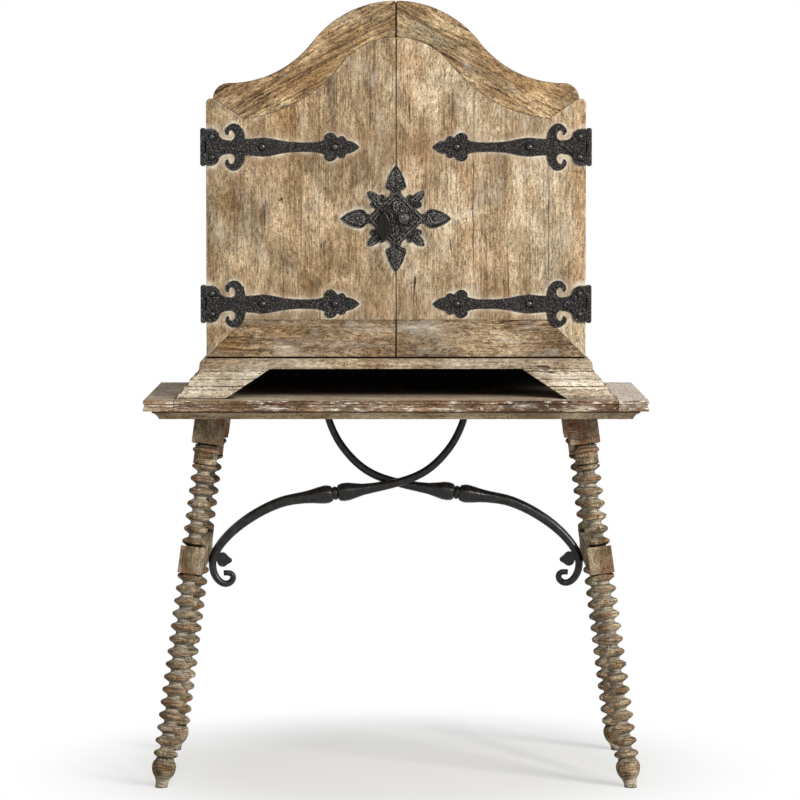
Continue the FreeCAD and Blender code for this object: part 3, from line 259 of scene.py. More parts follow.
def weathered_wood(name, turn, tones, ochre, grey, streaks=0.6, wash=0.2, flakes=0.2, specks=0.5, cracks=(),
                   seams=0.6, tooth=2.4, turned=False, stained_at=(), painted_top_light=None, shade_lines=(), dashes=None,
                   coarse=1.0, halo=0.0):
    """Old brushed pine or oak: clouded colour, growth lines, pores, worm holes, checks and limewash.

    The turn lays the grain along the board. Growth lines are 2 to 6 mm apart as on the real board. Pores are
    0.3 mm wide there and drawn 1 to 2 mm wide so that they show."""
    material, tree, shader, place = finish_of(name, 0.8)
    shader.inputs["Specular IOR Level"].default_value = 0.22
    lay = put(tree, "ShaderNodeMapping", {"vector_type": "POINT"},
              {"Vector": place, "Rotation": turn}).outputs[0]
    # Clouds of bleached and brown wood, about 60 mm across and 120 mm long
    along = put(tree, "ShaderNodeMapping", {}, {"Vector": lay, "Scale": (17, 17, 8)}).outputs[0]
    cloud = put(tree, "ShaderNodeTexNoise", {}, {"Vector": along, "Scale": 1.0, "Detail": 6.0,
                                                 "Roughness": 0.64, "Distortion": 0.6}).outputs[0]
    shade = put(tree, "ShaderNodeValToRGB", {"stops": [(0.35, tones[0]), (0.50, tones[1]), (0.65, tones[2])]},
                {"Fac": cloud}).outputs[0]
    along = put(tree, "ShaderNodeMapping", {}, {"Vector": lay, "Scale": (11, 11, 4),
                                                "Location": (4, 2, 7)}).outputs[0]
    tint = put(tree, "ShaderNodeTexNoise", {}, {"Vector": along, "Scale": 1.0, "Detail": 5.0,
                                                "Roughness": 0.6}).outputs[0]
    warm = put(tree, "ShaderNodeMapRange", {}, {0: tint, 1: 0.5, 2: 0.72, 3: 0.0, 4: 0.7}).outputs[0]
    cool = put(tree, "ShaderNodeMapRange", {}, {0: tint, 1: 0.47, 2: 0.28, 3: 0.0, 4: 0.6}).outputs[0]
    shade = put(tree, "ShaderNodeMix", {"data_type": "RGBA"}, {0: warm, 6: shade, 7: tone(ochre)}).outputs[2]
    shade = put(tree, "ShaderNodeMix", {"data_type": "RGBA"}, {0: cool, 6: shade, 7: tone(grey)}).outputs[2]
    if painted_top_light:
        # Upward faces are painted lighter, as light falls on them from above
        facing = put(tree, "ShaderNodeNewGeometry", {}).outputs["Normal"]
        upward = put(tree, "ShaderNodeSeparateXYZ", {}, {"Vector": facing}).outputs["Z"]
        upward = put(tree, "ShaderNodeMapRange", {}, {0: upward, 1: 0.6, 2: 0.95, 3: 0.0, 4: 0.8}).outputs[0]
        shade = put(tree, "ShaderNodeMix", {"data_type": "RGBA"},
                    {0: upward, 6: shade, 7: tone(painted_top_light)}).outputs[2]
    # Growth lines, bent up to 12 mm by the clouds and strong only in bands
    bend = put(tree, "ShaderNodeCombineXYZ", {}, {"X": cloud, "Y": cloud}).outputs[0]
    bend = put(tree, "ShaderNodeVectorMath", {"operation": "MULTIPLY_ADD"},
               {0: bend, 1: (0.012, 0.012, 0.0), 2: lay}).outputs[0]
    along = put(tree, "ShaderNodeMapping", {},
                {"Vector": bend, "Scale": (300 / coarse, 300 / coarse, 6)}).outputs[0]
    lines = put(tree, "ShaderNodeTexNoise", {}, {"Vector": along, "Scale": 1.0, "Detail": 3.0,
                                                 "Roughness": 0.6}).outputs[0]
    along = put(tree, "ShaderNodeMapping", {}, {"Vector": lay, "Scale": (26, 26, 1.6)}).outputs[0]
    band = put(tree, "ShaderNodeTexNoise", {}, {"Vector": along, "Scale": 1.0, "Detail": 3.0}).outputs[0]
    band = put(tree, "ShaderNodeMapRange", {},
               {0: band, 1: 0.42, 2: 0.66, 3: 0.3 * streaks, 4: streaks}).outputs[0]
    line_tone = put(tree, "ShaderNodeValToRGB", {"stops": [(0.33, "#4e3d2d"), (0.44, "#a3968a"),
                                                           (0.53, "#f2efe9"), (0.66, WHITE)]},
                    {"Fac": lines}).outputs[0]
    shade = put(tree, "ShaderNodeMix", {"data_type": "RGBA", "blend_type": "MULTIPLY"},
                {0: band, 6: shade, 7: line_tone}).outputs[2]
    # Fibre: broken strokes that give the brushed surface its tooth. They are really 0.3 mm wide, and drawn
    # 1 to 3 mm wide so that they show
    along = put(tree, "ShaderNodeMapping", {}, {"Vector": bend, "Scale": (280, 280, 90)}).outputs[0]
    fibre = put(tree, "ShaderNodeTexNoise", {}, {"Vector": along, "Scale": 1.0, "Detail": 3.0,
                                                 "Roughness": 0.65}).outputs[0]
    grit = put(tree, "ShaderNodeTexNoise", {}, {"Vector": lay, "Scale": 300.0, "Detail": 3.0,
                                                "Roughness": 0.75}).outputs[0]
    strokes = put(tree, "ShaderNodeMath", {"operation": "ADD"}, {0: fibre, 1: grit}).outputs[0]
    strokes = put(tree, "ShaderNodeMapRange", {}, {0: strokes, 1: 1.0 - 0.8 / tooth, 2: 1.0 + 0.8 / tooth,
                                                   3: 0.2, 4: 1.8}).outputs[0]
    shade = put(tree, "ShaderNodeMix", {"data_type": "RGBA", "blend_type": "MULTIPLY"},
                {0: 1.0, 6: shade, 7: strokes}).outputs[2]
    if turned:
        shade = limed_rings(tree, place, shade)
    for level in stained_at:
        shade = iron_stain(tree, place, tint, level, shade)
    # Limewash: a thin pale veil in places, and small white flakes where it is thickest
    lay_of_wash = put(tree, "ShaderNodeMapping", {"vector_type": "POINT"},
                      {"Vector": place, "Rotation": dashes or turn}).outputs[0]
    along = put(tree, "ShaderNodeMapping", {}, {"Vector": lay_of_wash, "Scale": (34, 34, 11),
                                                "Location": (1, 5, 3)}).outputs[0]
    veil = put(tree, "ShaderNodeTexNoise", {}, {"Vector": along, "Scale": 1.0, "Detail": 8.0,
                                                "Roughness": 0.7}).outputs[0]
    film = put(tree, "ShaderNodeMapRange", {},
               {0: veil, 1: 0.60 - 0.2 * wash, 2: 0.86, 3: 0.0, 4: 0.75}).outputs[0]
    shade = put(tree, "ShaderNodeMix", {"data_type": "RGBA"},
                {0: film, 6: shade, 7: tone(THIN_LIMEWASH)}).outputs[2]
    along = put(tree, "ShaderNodeMapping", {}, {"Vector": lay_of_wash, "Scale": (360, 360, 50)}).outputs[0]
    chip = put(tree, "ShaderNodeTexNoise", {}, {"Vector": along, "Scale": 1.0, "Detail": 6.0,
                                                "Roughness": 0.75}).outputs[0]
    chip = put(tree, "ShaderNodeMath", {"operation": "MULTIPLY_ADD"}, {0: veil, 1: 0.6, 2: chip}).outputs[0]
    edge = 1.08 - 0.26 * flakes
    chip = put(tree, "ShaderNodeMapRange", {}, {0: chip, 1: edge, 2: edge + 0.05, 3: 0.0, 4: 0.9}).outputs[0]
    shade = put(tree, "ShaderNodeMix", {"data_type": "RGBA"},
                {0: chip, 6: shade, 7: tone(LIME_FLAKE)}).outputs[2]
    # Painted shadow under the chest, on upward faces only
    if painted_top_light:
        shade = painted_shadow_under_chest(tree, place, upward, shade)
    dark_marks = thin_checks(tree, lay, bend, worm_holes(tree, lay, specks))
    if cracks:
        dark_marks = long_cracks(tree, place, cracks, dark_marks)
    if shade_lines:
        dark_marks = painted_groove_shade(tree, place, fibre, shade_lines, dark_marks)
    # Pits, cracks and the painted shade lines of the quirks are darkened here
    mark_strength = put(tree, "ShaderNodeMath", {"operation": "MULTIPLY"}, {0: dark_marks, 1: 0.92}).outputs[0]
    shade = put(tree, "ShaderNodeMix", {"data_type": "RGBA"},
                {0: mark_strength, 6: shade, 7: tone(DARK_MARK_BROWN)}).outputs[2]
    shade = painted_shade_and_dirt(tree, shade, veil, halo, seams)
    tree.links.new(shade, shader.inputs["Base Color"])
    relief = put(tree, "ShaderNodeMath", {"operation": "MULTIPLY_ADD"},
                 {0: fibre, 1: 0.45, 2: lines}).outputs[0]
    relief = put(tree, "ShaderNodeMath", {"operation": "MULTIPLY_ADD"},
                 {0: dark_marks, 1: -1.2, 2: relief}).outputs[0]
    bump = put(tree, "ShaderNodeBump", {}, {"Strength": 0.7, "Distance": 0.0013, "Height": relief}).outputs[0]
    tree.links.new(bump, shader.inputs["Normal"])
    return material


def forged_iron(name, dark, rubbed, rust, roughness, dent, depth, wear=0.5, metal=0.3, gloss=0.3):
    """Forged iron, blacked and waxed: hammer dents whose edges are rubbed bright, and a little brown rust.

    Dents are nearly 4 mm across as on the real straps, and wider and shallower on smooth pieces. Their
    width and depth are in metres."""
    material, tree, shader, place = finish_of(name, roughness, metal)
    shader.inputs["Specular IOR Level"].default_value = gloss
    # Scale of the fire, about 1 mm across, which also makes the dents uneven
    grit = put(tree, "ShaderNodeTexNoise", {}, {"Vector": place, "Scale": 430.0, "Detail": 3.0,
                                                "Roughness": 0.7}).outputs[0]
    stray = put(tree, "ShaderNodeCombineXYZ", {}, {"X": grit, "Y": grit, "Z": grit}).outputs[0]
    stray = put(tree, "ShaderNodeVectorMath", {"operation": "MULTIPLY_ADD"},
                {0: stray, 1: (0.4 * dent, 0.4 * dent, 0.4 * dent), 2: place}).outputs[0]
    blows = put(tree, "ShaderNodeTexVoronoi", {"feature": "F1"},
                {"Vector": stray, "Scale": 1 / dent}).outputs["Distance"]
    cloud = put(tree, "ShaderNodeTexNoise", {}, {"Vector": place, "Scale": 42.0, "Detail": 4.0}).outputs[0]
    brown = put(tree, "ShaderNodeMapRange", {}, {0: cloud, 1: 0.5, 2: 0.72, 3: 0.0, 4: 0.45}).outputs[0]
    shade = put(tree, "ShaderNodeMix", {"data_type": "RGBA"},
                {0: brown, 6: tone(dark), 7: tone(rust)}).outputs[2]
    # Edges of the dents, and ridges and corners of the piece, are rubbed bright
    worn_edge = put(tree, "ShaderNodeMath", {"operation": "MULTIPLY_ADD"},
                    {0: grit, 1: 0.9, 2: blows}).outputs[0]
    worn_edge = put(tree, "ShaderNodeMapRange", {},
                    {0: worn_edge, 1: 0.90, 2: 1.35, 3: 0.0, 4: wear}).outputs[0]
    shade = put(tree, "ShaderNodeMix", {"data_type": "RGBA"},
                {0: worn_edge, 6: shade, 7: tone(rubbed)}).outputs[2]
    ridge = put(tree, "ShaderNodeAttribute", {"attribute_name": "corner"}).outputs["Fac"]
    bare = put(tree, "ShaderNodeMapRange", {}, {0: grit, 1: 0.40, 2: 0.62, 3: 0.0, 4: 0.85}).outputs[0]
    bare = put(tree, "ShaderNodeMath", {"operation": "MULTIPLY"}, {0: ridge, 1: bare}).outputs[0]
    shade = put(tree, "ShaderNodeMix", {"data_type": "RGBA"}, {0: bare, 6: shade, 7: tone(rubbed)}).outputs[2]
    # Wax and dirt in the sunk parts, and painted shade there and where pieces meet: darker where the
    # surroundings hide the room
    near = put(tree, "ShaderNodeAmbientOcclusion", {"samples": 6},
               {"Distance": IRON_SHADE_AND_DIRT_REACH}).outputs["AO"]
    shade_and_dirt = put(tree, "ShaderNodeMapRange", {}, {0: near, 1: 0.8, 2: 0.35, 3: 0.0, 4: 0.9}).outputs[0]
    shade = put(tree, "ShaderNodeMix", {"data_type": "RGBA"},
                {0: shade_and_dirt, 6: shade, 7: tone(IRON_SHADE_AND_DIRT)}).outputs[2]
    tree.links.new(shade, shader.inputs["Base Color"])
    sheen = put(tree, "ShaderNodeMapRange", {}, {0: grit, 1: 0.3, 2: 0.7, 3: roughness + 0.12,
                                                 4: roughness - 0.12}).outputs[0]
    tree.links.new(sheen, shader.inputs["Roughness"])
    height = put(tree, "ShaderNodeMath", {"operation": "MULTIPLY_ADD"},
                 {0: grit, 1: 0.5, 2: blows}).outputs[0]
    bump = put(tree, "ShaderNodeBump", {}, {"Strength": 1.0, "Distance": depth, "Height": height}).outputs[0]
    tree.links.new(bump, shader.inputs["Normal"])
    return material


# How the grain lies
UPRIGHT = (0.0, 0.0, 0.0)
LEVEL = (0.0, math.radians(90), 0.0)
FRONT_TO_BACK = (math.radians(90), 0.0, 0.0)
CREST_SLOPE = math.radians(62)

# Dark, middle and pale wood of each kind
LEFT_TONES = ("#6a553c", "#9c8567", "#c6ae8c")
RIGHT_TONES = ("#7b654d", "#a68f70", "#cbb89c")
RAIL_TONES = ("#5a4733", "#846d53", "#b19a7c")
CREST_TONES = ("#6b5439", "#987c59", "#c4aa84")
CASE_TONES = ("#7f684d", "#a08564", "#b89d7a")
# Near black: painted shade for the board under the chest
PLINTH_SHADE_TONES = ("#060403", "#0a0705", "#100b08")
FOOT_TONES = ("#8f7c65", "#c8b79e", "#eaddc8")
MOULDING_TONES = ("#6d5a45", "#a08c73", "#cdbfa8")
TABLE_TONES = ("#57412d", "#80644c", "#a98d6f")
UNDER_TONES = ("#7a6950", "#a08d70", "#c2b092")
LEG_TONES = ("#54472f", "#86765c", "#b5a78c")

# Heights of the straps, which have stained the doors, and the doors' long cracks. The lines of painted shade
# in the quirks of the chest's feet have their height and width in mm
STRAP_LEVELS = (1.008, 1.335)
LEFT_CRACKS = ((-0.318, 1.09, 1.29, 0.0009), (-0.161, 1.18, 1.34, 0.0009), (-0.235, 1.02, 1.10, 0.0006))
RIGHT_CRACKS = ((0.161, 1.06, 1.33, 0.0016), (0.318, 1.02, 1.36, 0.0010), (0.028, 1.37, 1.45, 0.0010),
                (0.09, 1.24, 1.30, 0.0006))
FOOT_SHADE_LINES = ((868.5, 1.7), (853.0, 1.0), (838.5, 1.7), (831.5, 1.6), (819.5, 1.0))

PLANK_LOOK = dict(streaks=0.7, wash=0.3, flakes=0.1, specks=1.3, seams=0.12, tooth=2.8,
                  stained_at=STRAP_LEVELS, halo=0.75)
CREST_LOOK = dict(streaks=1.1, wash=0.2, flakes=0.3, specks=1.0, seams=0.5, tooth=3.6, coarse=1.6)
RAIL_LOOK = dict(streaks=1.0, wash=0.5, flakes=0.4, specks=1.0, seams=0.6, tooth=3.8, coarse=1.5)
CASE_LOOK = dict(wash=0.0, flakes=0.0)


def door_wood(name, turn, tones, **more):
    """Bleached pine of the doors; the planks of the left door are a shade darker than those of the right,
    partly the wood and partly painted shade, as the light comes from the right.
    """
    ochre, grey = ("#b0865a", "#c6bca6") if tones is RIGHT_TONES else ("#957347", "#a0977f")
    return weathered_wood(name, turn, tones, ochre, grey, **more)


woods = {
    # Door planks: matt, brushed, pale brown with dark pores and a chalky line round the irons
    "left_plank": door_wood("bleached_pine_left", UPRIGHT, LEFT_TONES, cracks=LEFT_CRACKS, **PLANK_LOOK),
    "right_plank": door_wood("bleached_pine_right", UPRIGHT, RIGHT_TONES, cracks=RIGHT_CRACKS, **PLANK_LOOK),
    # Crest and bottom rails: browner, with bold growth lines along the rail
    "left_crest": door_wood("aged_pine_crest_left", (0, -CREST_SLOPE, 0), CREST_TONES, **CREST_LOOK),
    "right_crest": door_wood("aged_pine_crest_right", (0, CREST_SLOPE, 0), CREST_TONES, **CREST_LOOK),
    "left_rail": door_wood("bleached_pine_rail_left", LEVEL, RAIL_TONES, **RAIL_LOOK),
    "right_rail": door_wood("bleached_pine_rail_right", LEVEL, RAIL_TONES, **RAIL_LOOK),
    # Base moulding and feet of the chest: limed, so greyer and paler, with painted shade in the quirks
    "moulding": weathered_wood("limed_pine_moulding", LEVEL, MOULDING_TONES, "#957347", "#b3a892", wash=0.4,
                               flakes=0.4, seams=0.3, tooth=3.0, coarse=1.4),
    "foot": weathered_wood("limed_pine_foot", LEVEL, FOOT_TONES, "#9a7346", "#c9bfa9", wash=0.6, flakes=0.5,
                           seams=0.35, tooth=2.8, coarse=1.4, shade_lines=FOOT_SHADE_LINES),
    # Board between the rear feet: painted nearly black as shade, so that the space under the chest is dark
    "plinth": weathered_wood("plinth_painted_shade", LEVEL, PLINTH_SHADE_TONES, "#080504", "#0a0807", wash=0.0,
                             flakes=0.0, tooth=1.0),
    # Case and shelves: dry, clean, warmer pine without limewash
    "case": weathered_wood("dry_pine_case", UPRIGHT, CASE_TONES, "#94703f", "#9c9277", **CASE_LOOK),
    "case_level": weathered_wood("dry_pine_shelf", LEVEL, CASE_TONES, "#94703f", "#9c9277", **CASE_LOOK),
    # Table-top: red-brown worn edges with white flakes, and its upper face painted lighter by light from
    # above
    "table": weathered_wood("worn_oak_top", LEVEL, TABLE_TONES, "#774f2f", "#8f8268", streaks=0.9, wash=0.4,
                            flakes=0.8, specks=0.9, seams=0.3, tooth=3.0, coarse=1.3, painted_top_light="#c3b094"),
    # The ends' upper faces are painted lighter too, the right one most, on the side the light comes from
    "left_end": weathered_wood("worn_oak_end_left", FRONT_TO_BACK, TABLE_TONES, "#7a5634", "#9a8d76",
                               streaks=0.7, wash=0.5, flakes=0.9, specks=0.9, seams=0.3, dashes=LEVEL,
                               painted_top_light="#b5a486"),
    "right_end": weathered_wood("worn_oak_end_right", FRONT_TO_BACK, TABLE_TONES, "#8a6a4a", "#b8ad9c",
                                streaks=0.7, wash=0.7, flakes=1.0, specks=0.9, seams=0.3, dashes=LEVEL,
                                painted_top_light="#eadfd2"),
    "under_mould": weathered_wood("dry_oak_moulding", LEVEL, UNDER_TONES, "#7a5a38", "#a39881", streaks=0.7,
                                  wash=0.3, flakes=0.2, seams=0.3),
    # Legs: dark oak, grey lime in the hollows and rubbed red-brown rings; stretchers: the same oak, planed
    "leg": weathered_wood("limed_turned_oak", UPRIGHT, LEG_TONES, "#6f5136", "#8f8775", streaks=0.6, wash=0.3,
                          flakes=0.35, specks=0.9, seams=0.3, tooth=2.6, turned=True),
    "stretcher": weathered_wood("dry_oak_stretcher", FRONT_TO_BACK, LEG_TONES, "#6f4a2c", "#8d8572",
                                streaks=0.8, wash=0.3, flakes=0.3, specks=0.8, seams=0.5),
}
irons = {
    # Straps and hinges: black with sparkling edges of hammer dents
    "hinge_iron": forged_iron("hammered_black_iron", "#110f0e", "#77716b", "#251c16", 0.26, 0.0036, 0.0032,
                              wear=0.38),
    # Lock plate: deeper black, with the ridges of the chasing rubbed pale
    "chased_iron": forged_iron("chased_black_iron", "#0a0908", "#a39c95", "#1b1410", 0.22, 0.0038, 0.0036,
                               wear=0.28),
    # Studs, bolts and screws: smooth domes, each with a small bright light
    "stud_iron": forged_iron("blacked_iron_stud", "#1a1817", "#8a847e", "#241c17", 0.22, 0.0060, 0.0002,
                             wear=0.25, metal=0.6, gloss=1.0),
    # Braces: long smooth bars, satin grey-black
    "brace_iron": forged_iron("smooth_forged_iron", "#222120", "#5d5a58", "#332e2a", 0.25, 0.0120, 0.00006,
                              wear=0.2),
    # Pull and boss: polished dark by hands, and a rubbed grey dome
    "pull_iron": forged_iron("polished_black_iron", "#131211", "#3a3735", "#191614", 0.16, 0.0200, 0.00003,
                             wear=0.1),
    "boss_iron": forged_iron("rubbed_iron_boss", "#24211f", "#857e78", "#392f28", 0.28, 0.0036, 0.0014,
                             wear=0.4, gloss=0.5),
    # Strike plates and magnets inside: plain grey, as bought
    "plate_steel": forged_iron("plain_steel_plate", "#7b7b7b", "#959595", "#7b7b7b", 0.35, 0.0200, 0.0001),
    "magnet_iron": forged_iron("grey_magnet", "#3a3a3a", "#4a4a4a", "#3a3a3a", 0.45, 0.0200, 0.0001),
}

WELD_GAP = 0.02 * MM
FLAT_WITHIN = math.radians(0.6)
CREASE = math.radians(34)
CHASED_CREASE = math.radians(42)


def worn(node, material, round_by, segments=2, sharp=38, shortest=0.0):
    """A copy of a solid's skin with its doubles merged and its corners worn round.

    Corners sharper than so many degrees and longer than the shortest are worn, and their points marked."""
    mesh = nodes[node].data.copy()
    mesh.materials.clear()
    mesh.materials.append(material)
    skin = bmesh.new()
    skin.from_mesh(mesh)
    bmesh.ops.remove_doubles(skin, verts=skin.verts, dist=WELD_GAP)
    bmesh.ops.dissolve_limit(skin, angle_limit=FLAT_WITHIN, verts=skin.verts, edges=skin.edges)
    corners = [edge for edge in skin.edges if len(edge.link_faces) == 2
               and edge.calc_face_angle(0) > math.radians(sharp) and edge.calc_length() > shortest]
    corner_layer = skin.verts.layers.float.new("corner")
    if round_by:
        cut = bmesh.ops.bevel(skin, geom=corners, offset=round_by, offset_type="OFFSET", affect="EDGES",
                              segments=segments, profile=0.5, clamp_overlap=False, material=-1)
        bevelled = set(cut["faces"])
        for vertex in cut["verts"]:
            if vertex.is_valid and all(face in bevelled for face in vertex.link_faces):
                vertex[corner_layer] = 1.0
    bmesh.ops.remove_doubles(skin, verts=skin.verts, dist=WELD_GAP)
    bmesh.ops.triangulate(skin, faces=[face for face in skin.faces if len(face.verts) > 4])
    for face in skin.faces:
        face.smooth = True
    skin.to_mesh(mesh)
    skin.free()
    mesh.set_sharp_from_angle(angle=CREASE)
    piece = bpy.data.objects.new(node + "_worn", mesh)
    bpy.context.scene.collection.objects.link(piece)
    # Boards keep flat faces beside their worn corners
    flat = piece.modifiers.new("flat_faces", "WEIGHTED_NORMAL")
    flat.keep_sharp = True
    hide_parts(node)
    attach(piece, body_of[node])
    return piece


def mark_hollows(piece, side, end):
    """Writes how far down a turned leg each point lies, and how deep below its rings.

    The square blocks get values of their own."""
    top = Vector((side * LEG_TOP.x, end * LEG_TOP.y, LEG_TOP.z))
    foot = Vector((side * LEG_FOOT.x, end * LEG_FOOT.y, LEG_FOOT.z))
    along = (foot - top).normalized()
    depths = piece.data.attributes.new("hollow", "FLOAT", "POINT")
    places = piece.data.attributes.new("down_leg", "FLOAT", "POINT")
    for index, vertex in enumerate(piece.data.vertices):
        place = (vertex.co - top).dot(along)
        away = (vertex.co - top - along * place).length
        depth = (LEG_RING_RADIUS - away) / (LEG_RING_RADIUS - LEG_VALLEY_RADIUS)
        on_block = any(low < place < high for low, high in LEG_BLOCKS)
        places.data[index].value = -1.0 if on_block else place
        depths.data[index].value = 0.3 if on_block else max(0.0, min(1.0, depth))


# How far the corners of each kind of piece are worn back
BOARD_WEAR = 1.2 * MM
CREST_WEAR = 1.8 * MM
ROOF_WEAR = 1.5 * MM
TABLE_WEAR = 1.4 * MM
FOOT_WEAR = 1.0 * MM
FINE_WEAR = 0.9 * MM
THIN_WEAR = 0.8 * MM
SMALL_WEAR = 0.5 * MM
STRETCHER_WEAR = 2.5 * MM
PULL_WEAR = 2.4 * MM
PLATE_WEAR = 0.2 * MM
# Edges up to this length stay as they are
TINY_EDGE = 2.2 * MM

for side in ("left", "right"):
    for board in ("plank_inner", "plank_outer", "stile"):
        worn(side + "_" + board, woods[side + "_plank"], BOARD_WEAR, shortest=TINY_EDGE)
    worn(side + "_crest_rail", woods[side + "_crest"], CREST_WEAR, shortest=TINY_EDGE)
    worn(side + "_bottom_rail", woods[side + "_rail"], BOARD_WEAR, shortest=TINY_EDGE)
    worn(side + "_straps", irons["hinge_iron"], FINE_WEAR)
    worn(side + "_hinge_plates", irons["hinge_iron"], FINE_WEAR)
    worn(side + "_lock_plate", irons["chased_iron"], FINE_WEAR)
    worn(side + "_studs", irons["stud_iron"], 0)
    worn(side + "_strike_plate", irons["plate_steel"], PLATE_WEAR)
    worn("carcass_side_" + side, woods["case"], BOARD_WEAR, shortest=TINY_EDGE)
    worn("roof_" + side, woods["case_level"], ROOF_WEAR)
    worn("table_end_" + side, woods[side + "_end"], TABLE_WEAR)
    worn("leg_cleat_" + side, woods["stretcher"], BOARD_WEAR)
    worn("side_stretcher_" + side, woods["stretcher"], STRETCHER_WEAR)
    for end, place in ((-1, "front"), (1, "rear")):
        leg = worn("leg_" + place + "_" + side, woods["leg"], 0)
        mark_hollows(leg, -1 if side == "left" else 1, end)
        worn("chest_foot_" + place + "_" + side, woods["foot"], FOOT_WEAR)
for row in ("front", "middle", "rear"):
    worn("table_plank_" + row, woods["table"], TABLE_WEAR, shortest=TINY_EDGE)
worn("table_moulding", woods["under_mould"], FINE_WEAR)
worn("base_moulding", woods["moulding"], FINE_WEAR)
for board in ("carcass_floor", "shelf_lower", "shelf_upper", "arch_rail"):
    worn(board, woods["case_level"], BOARD_WEAR)
worn("carcass_back", woods["case"], THIN_WEAR)
worn("plinth_back", woods["plinth"], THIN_WEAR)
worn("shelf_pins", woods["case_level"], SMALL_WEAR)
for bar in ("brace_front", "brace_rear"):
    worn(bar, irons["brace_iron"], THIN_WEAR, sharp=60)
for small in ("brace_screws", "leaf_screws", "hinge_pins"):
    worn(small, irons["stud_iron"], 0)
worn("case_hinge_leaves", irons["hinge_iron"], SMALL_WEAR, sharp=50)
worn("pull_bracket", irons["hinge_iron"], SMALL_WEAR)
worn("door_magnets", irons["magnet_iron"], SMALL_WEAR)
worn("drop_pull", irons["pull_iron"], PULL_WEAR, segments=4)


# The chased ornament of the lock: raised rims, leaves and curls on the two halves of the plate.
# The halves keep so far from the seam; the fronts are planes that pieces stand on; a blank is so thick
SEAM = 0.6 * MM
RAISED_FRONT = LOCK_CENTRE.y - 4.0 * MM
CHASED_FRONT = RAISED_FRONT - 0.4 * MM
BLANK = 0.5 * MM
# Ridges higher than so many millimetres are rubbed bright, the middle of a piece only by this share
RUBBED_ABOVE = 0.5
MIDDLE_SHARE = 0.3


def on_lock(skin, name, body, material=None):
    """Turns a bmesh's faces outwards and makes it a piece on one door's half of the lock."""
    for corner in skin.verts:
        corner.co += Vector((LOCK_CENTRE.x, 0.0, LOCK_CENTRE.z))
    bmesh.ops.recalc_face_normals(skin, faces=skin.faces)
    for face in skin.faces:
        face.smooth = True
    mesh = bpy.data.meshes.new(name)
    skin.to_mesh(mesh)
    skin.free()
    mesh.set_sharp_from_angle(angle=CHASED_CREASE)
    mesh.materials.append(material or irons["chased_iron"])
    piece = bpy.data.objects.new(name, mesh)
    bpy.context.scene.collection.objects.link(piece)
    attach(piece, body)
    return piece


def raised_field(outline, level, steps, side=0):
    """A thin blank on the plate whose top steps in and up or down; its ridges are marked for rubbing.

    The outline and the steps are in millimetres. A side keeps only that half, up to the doors' seam."""
    skin = bmesh.new()
    ridge_layer = skin.verts.layers.float.new("corner")
    base = skin.faces.new([skin.verts.new((x * MM, level, z * MM)) for x, z in outline])
    grown = bmesh.ops.extrude_face_region(skin, geom=[base])["geom"]
    top = [part for part in grown if isinstance(part, bmesh.types.BMFace)]
    bmesh.ops.translate(skin, vec=(0.0, -BLANK, 0.0),
                        verts=[part for part in grown if isinstance(part, bmesh.types.BMVert)])
    bmesh.ops.recalc_face_normals(skin, faces=skin.faces)
    height = 0.0
    for inset, rise in steps:
        bmesh.ops.inset_region(skin, faces=top, thickness=inset * MM, depth=rise * MM, use_even_offset=True)
        height += rise
        for vertex in {vertex for face in top for vertex in face.verts}:
            vertex[ridge_layer] = 1.0 if height > RUBBED_ABOVE else 0.0
    for vertex in {vertex for face in top for vertex in face.verts}:
        vertex[ridge_layer] *= MIDDLE_SHARE
    if side:
        cut = bmesh.ops.bisect_plane(skin, geom=skin.verts[:] + skin.edges[:] + skin.faces[:], dist=1e-7,
                                     plane_co=(side * SEAM, 0.0, 0.0), plane_no=(-side, 0.0, 0.0),
                                     clear_outer=True)
        rim = [part for part in cut["geom_cut"] if isinstance(part, bmesh.types.BMEdge)]
        bmesh.ops.holes_fill(skin, edges=rim)
    return skin


# A leaf's rim, the hollow inside it and the ridge along its middle: in by, up by
LEAF_STEPS = ((1.1, 0.9), (0.8, 0.0), (1.0, -0.7), (1.4, 1.2))


def leaf(points, level, turn=0.0, side=0):
    """A leaf with a ridge along its middle; the points are its right edge from tip to foot, tip up."""
    outline = points + [(-x, z) for x, z in reversed(points) if x]
    turned = [(x * math.cos(turn) + z * math.sin(turn), z * math.cos(turn) - x * math.sin(turn))
              for x, z in outline]
    return raised_field(turned, level, LEAF_STEPS, side)


def curl(centre, start, sweep, big, small, width=3.2, steps=18):
    """The outline of a scroll that winds inwards, thickest half-way."""
    left, right = [], []
    for index in range(steps + 1):
        share = index / steps
        angle = math.radians(start + sweep * share)
        reach = big + (small - big) * share
        half = width * (0.4 + 0.6 * math.sin(math.pi * share)) / 2
        left.append((centre[0] + (reach + half) * math.cos(angle),
                     centre[1] + (reach + half) * math.sin(angle)))
        right.append((centre[0] + (reach - half) * math.cos(angle),
                      centre[1] + (reach - half) * math.sin(angle)))
    return left + right[::-1]


# Right edges of the leaves from tip to foot, in mm from the middle of the lock
ARM_LEAF = [(0, 106), (6, 97), (11, 86), (13, 77), (11.5, 70), (6, 66), (0, 64)]
DIAGONAL_LEAF = [(0, 79), (4, 74), (6, 66), (5, 58), (2.5, 52), (0, 50)]
FIELD_LEAF = [(0, 40), (4, 34), (6.5, 26), (5, 19), (2, 15), (0, 14)]
# The diamond's corners, and the steps of its double rim: in by, up by
DIAMOND = [(57, 0), (0, 57), (-57, 0), (0, -57)]
DIAMOND_RIMS = ((1.4, 1.6), (1.0, 0.0), (1.4, -1.6), (3.4, 0.0), (1.2, 1.3), (0.8, 0.0), (1.2, -1.3))
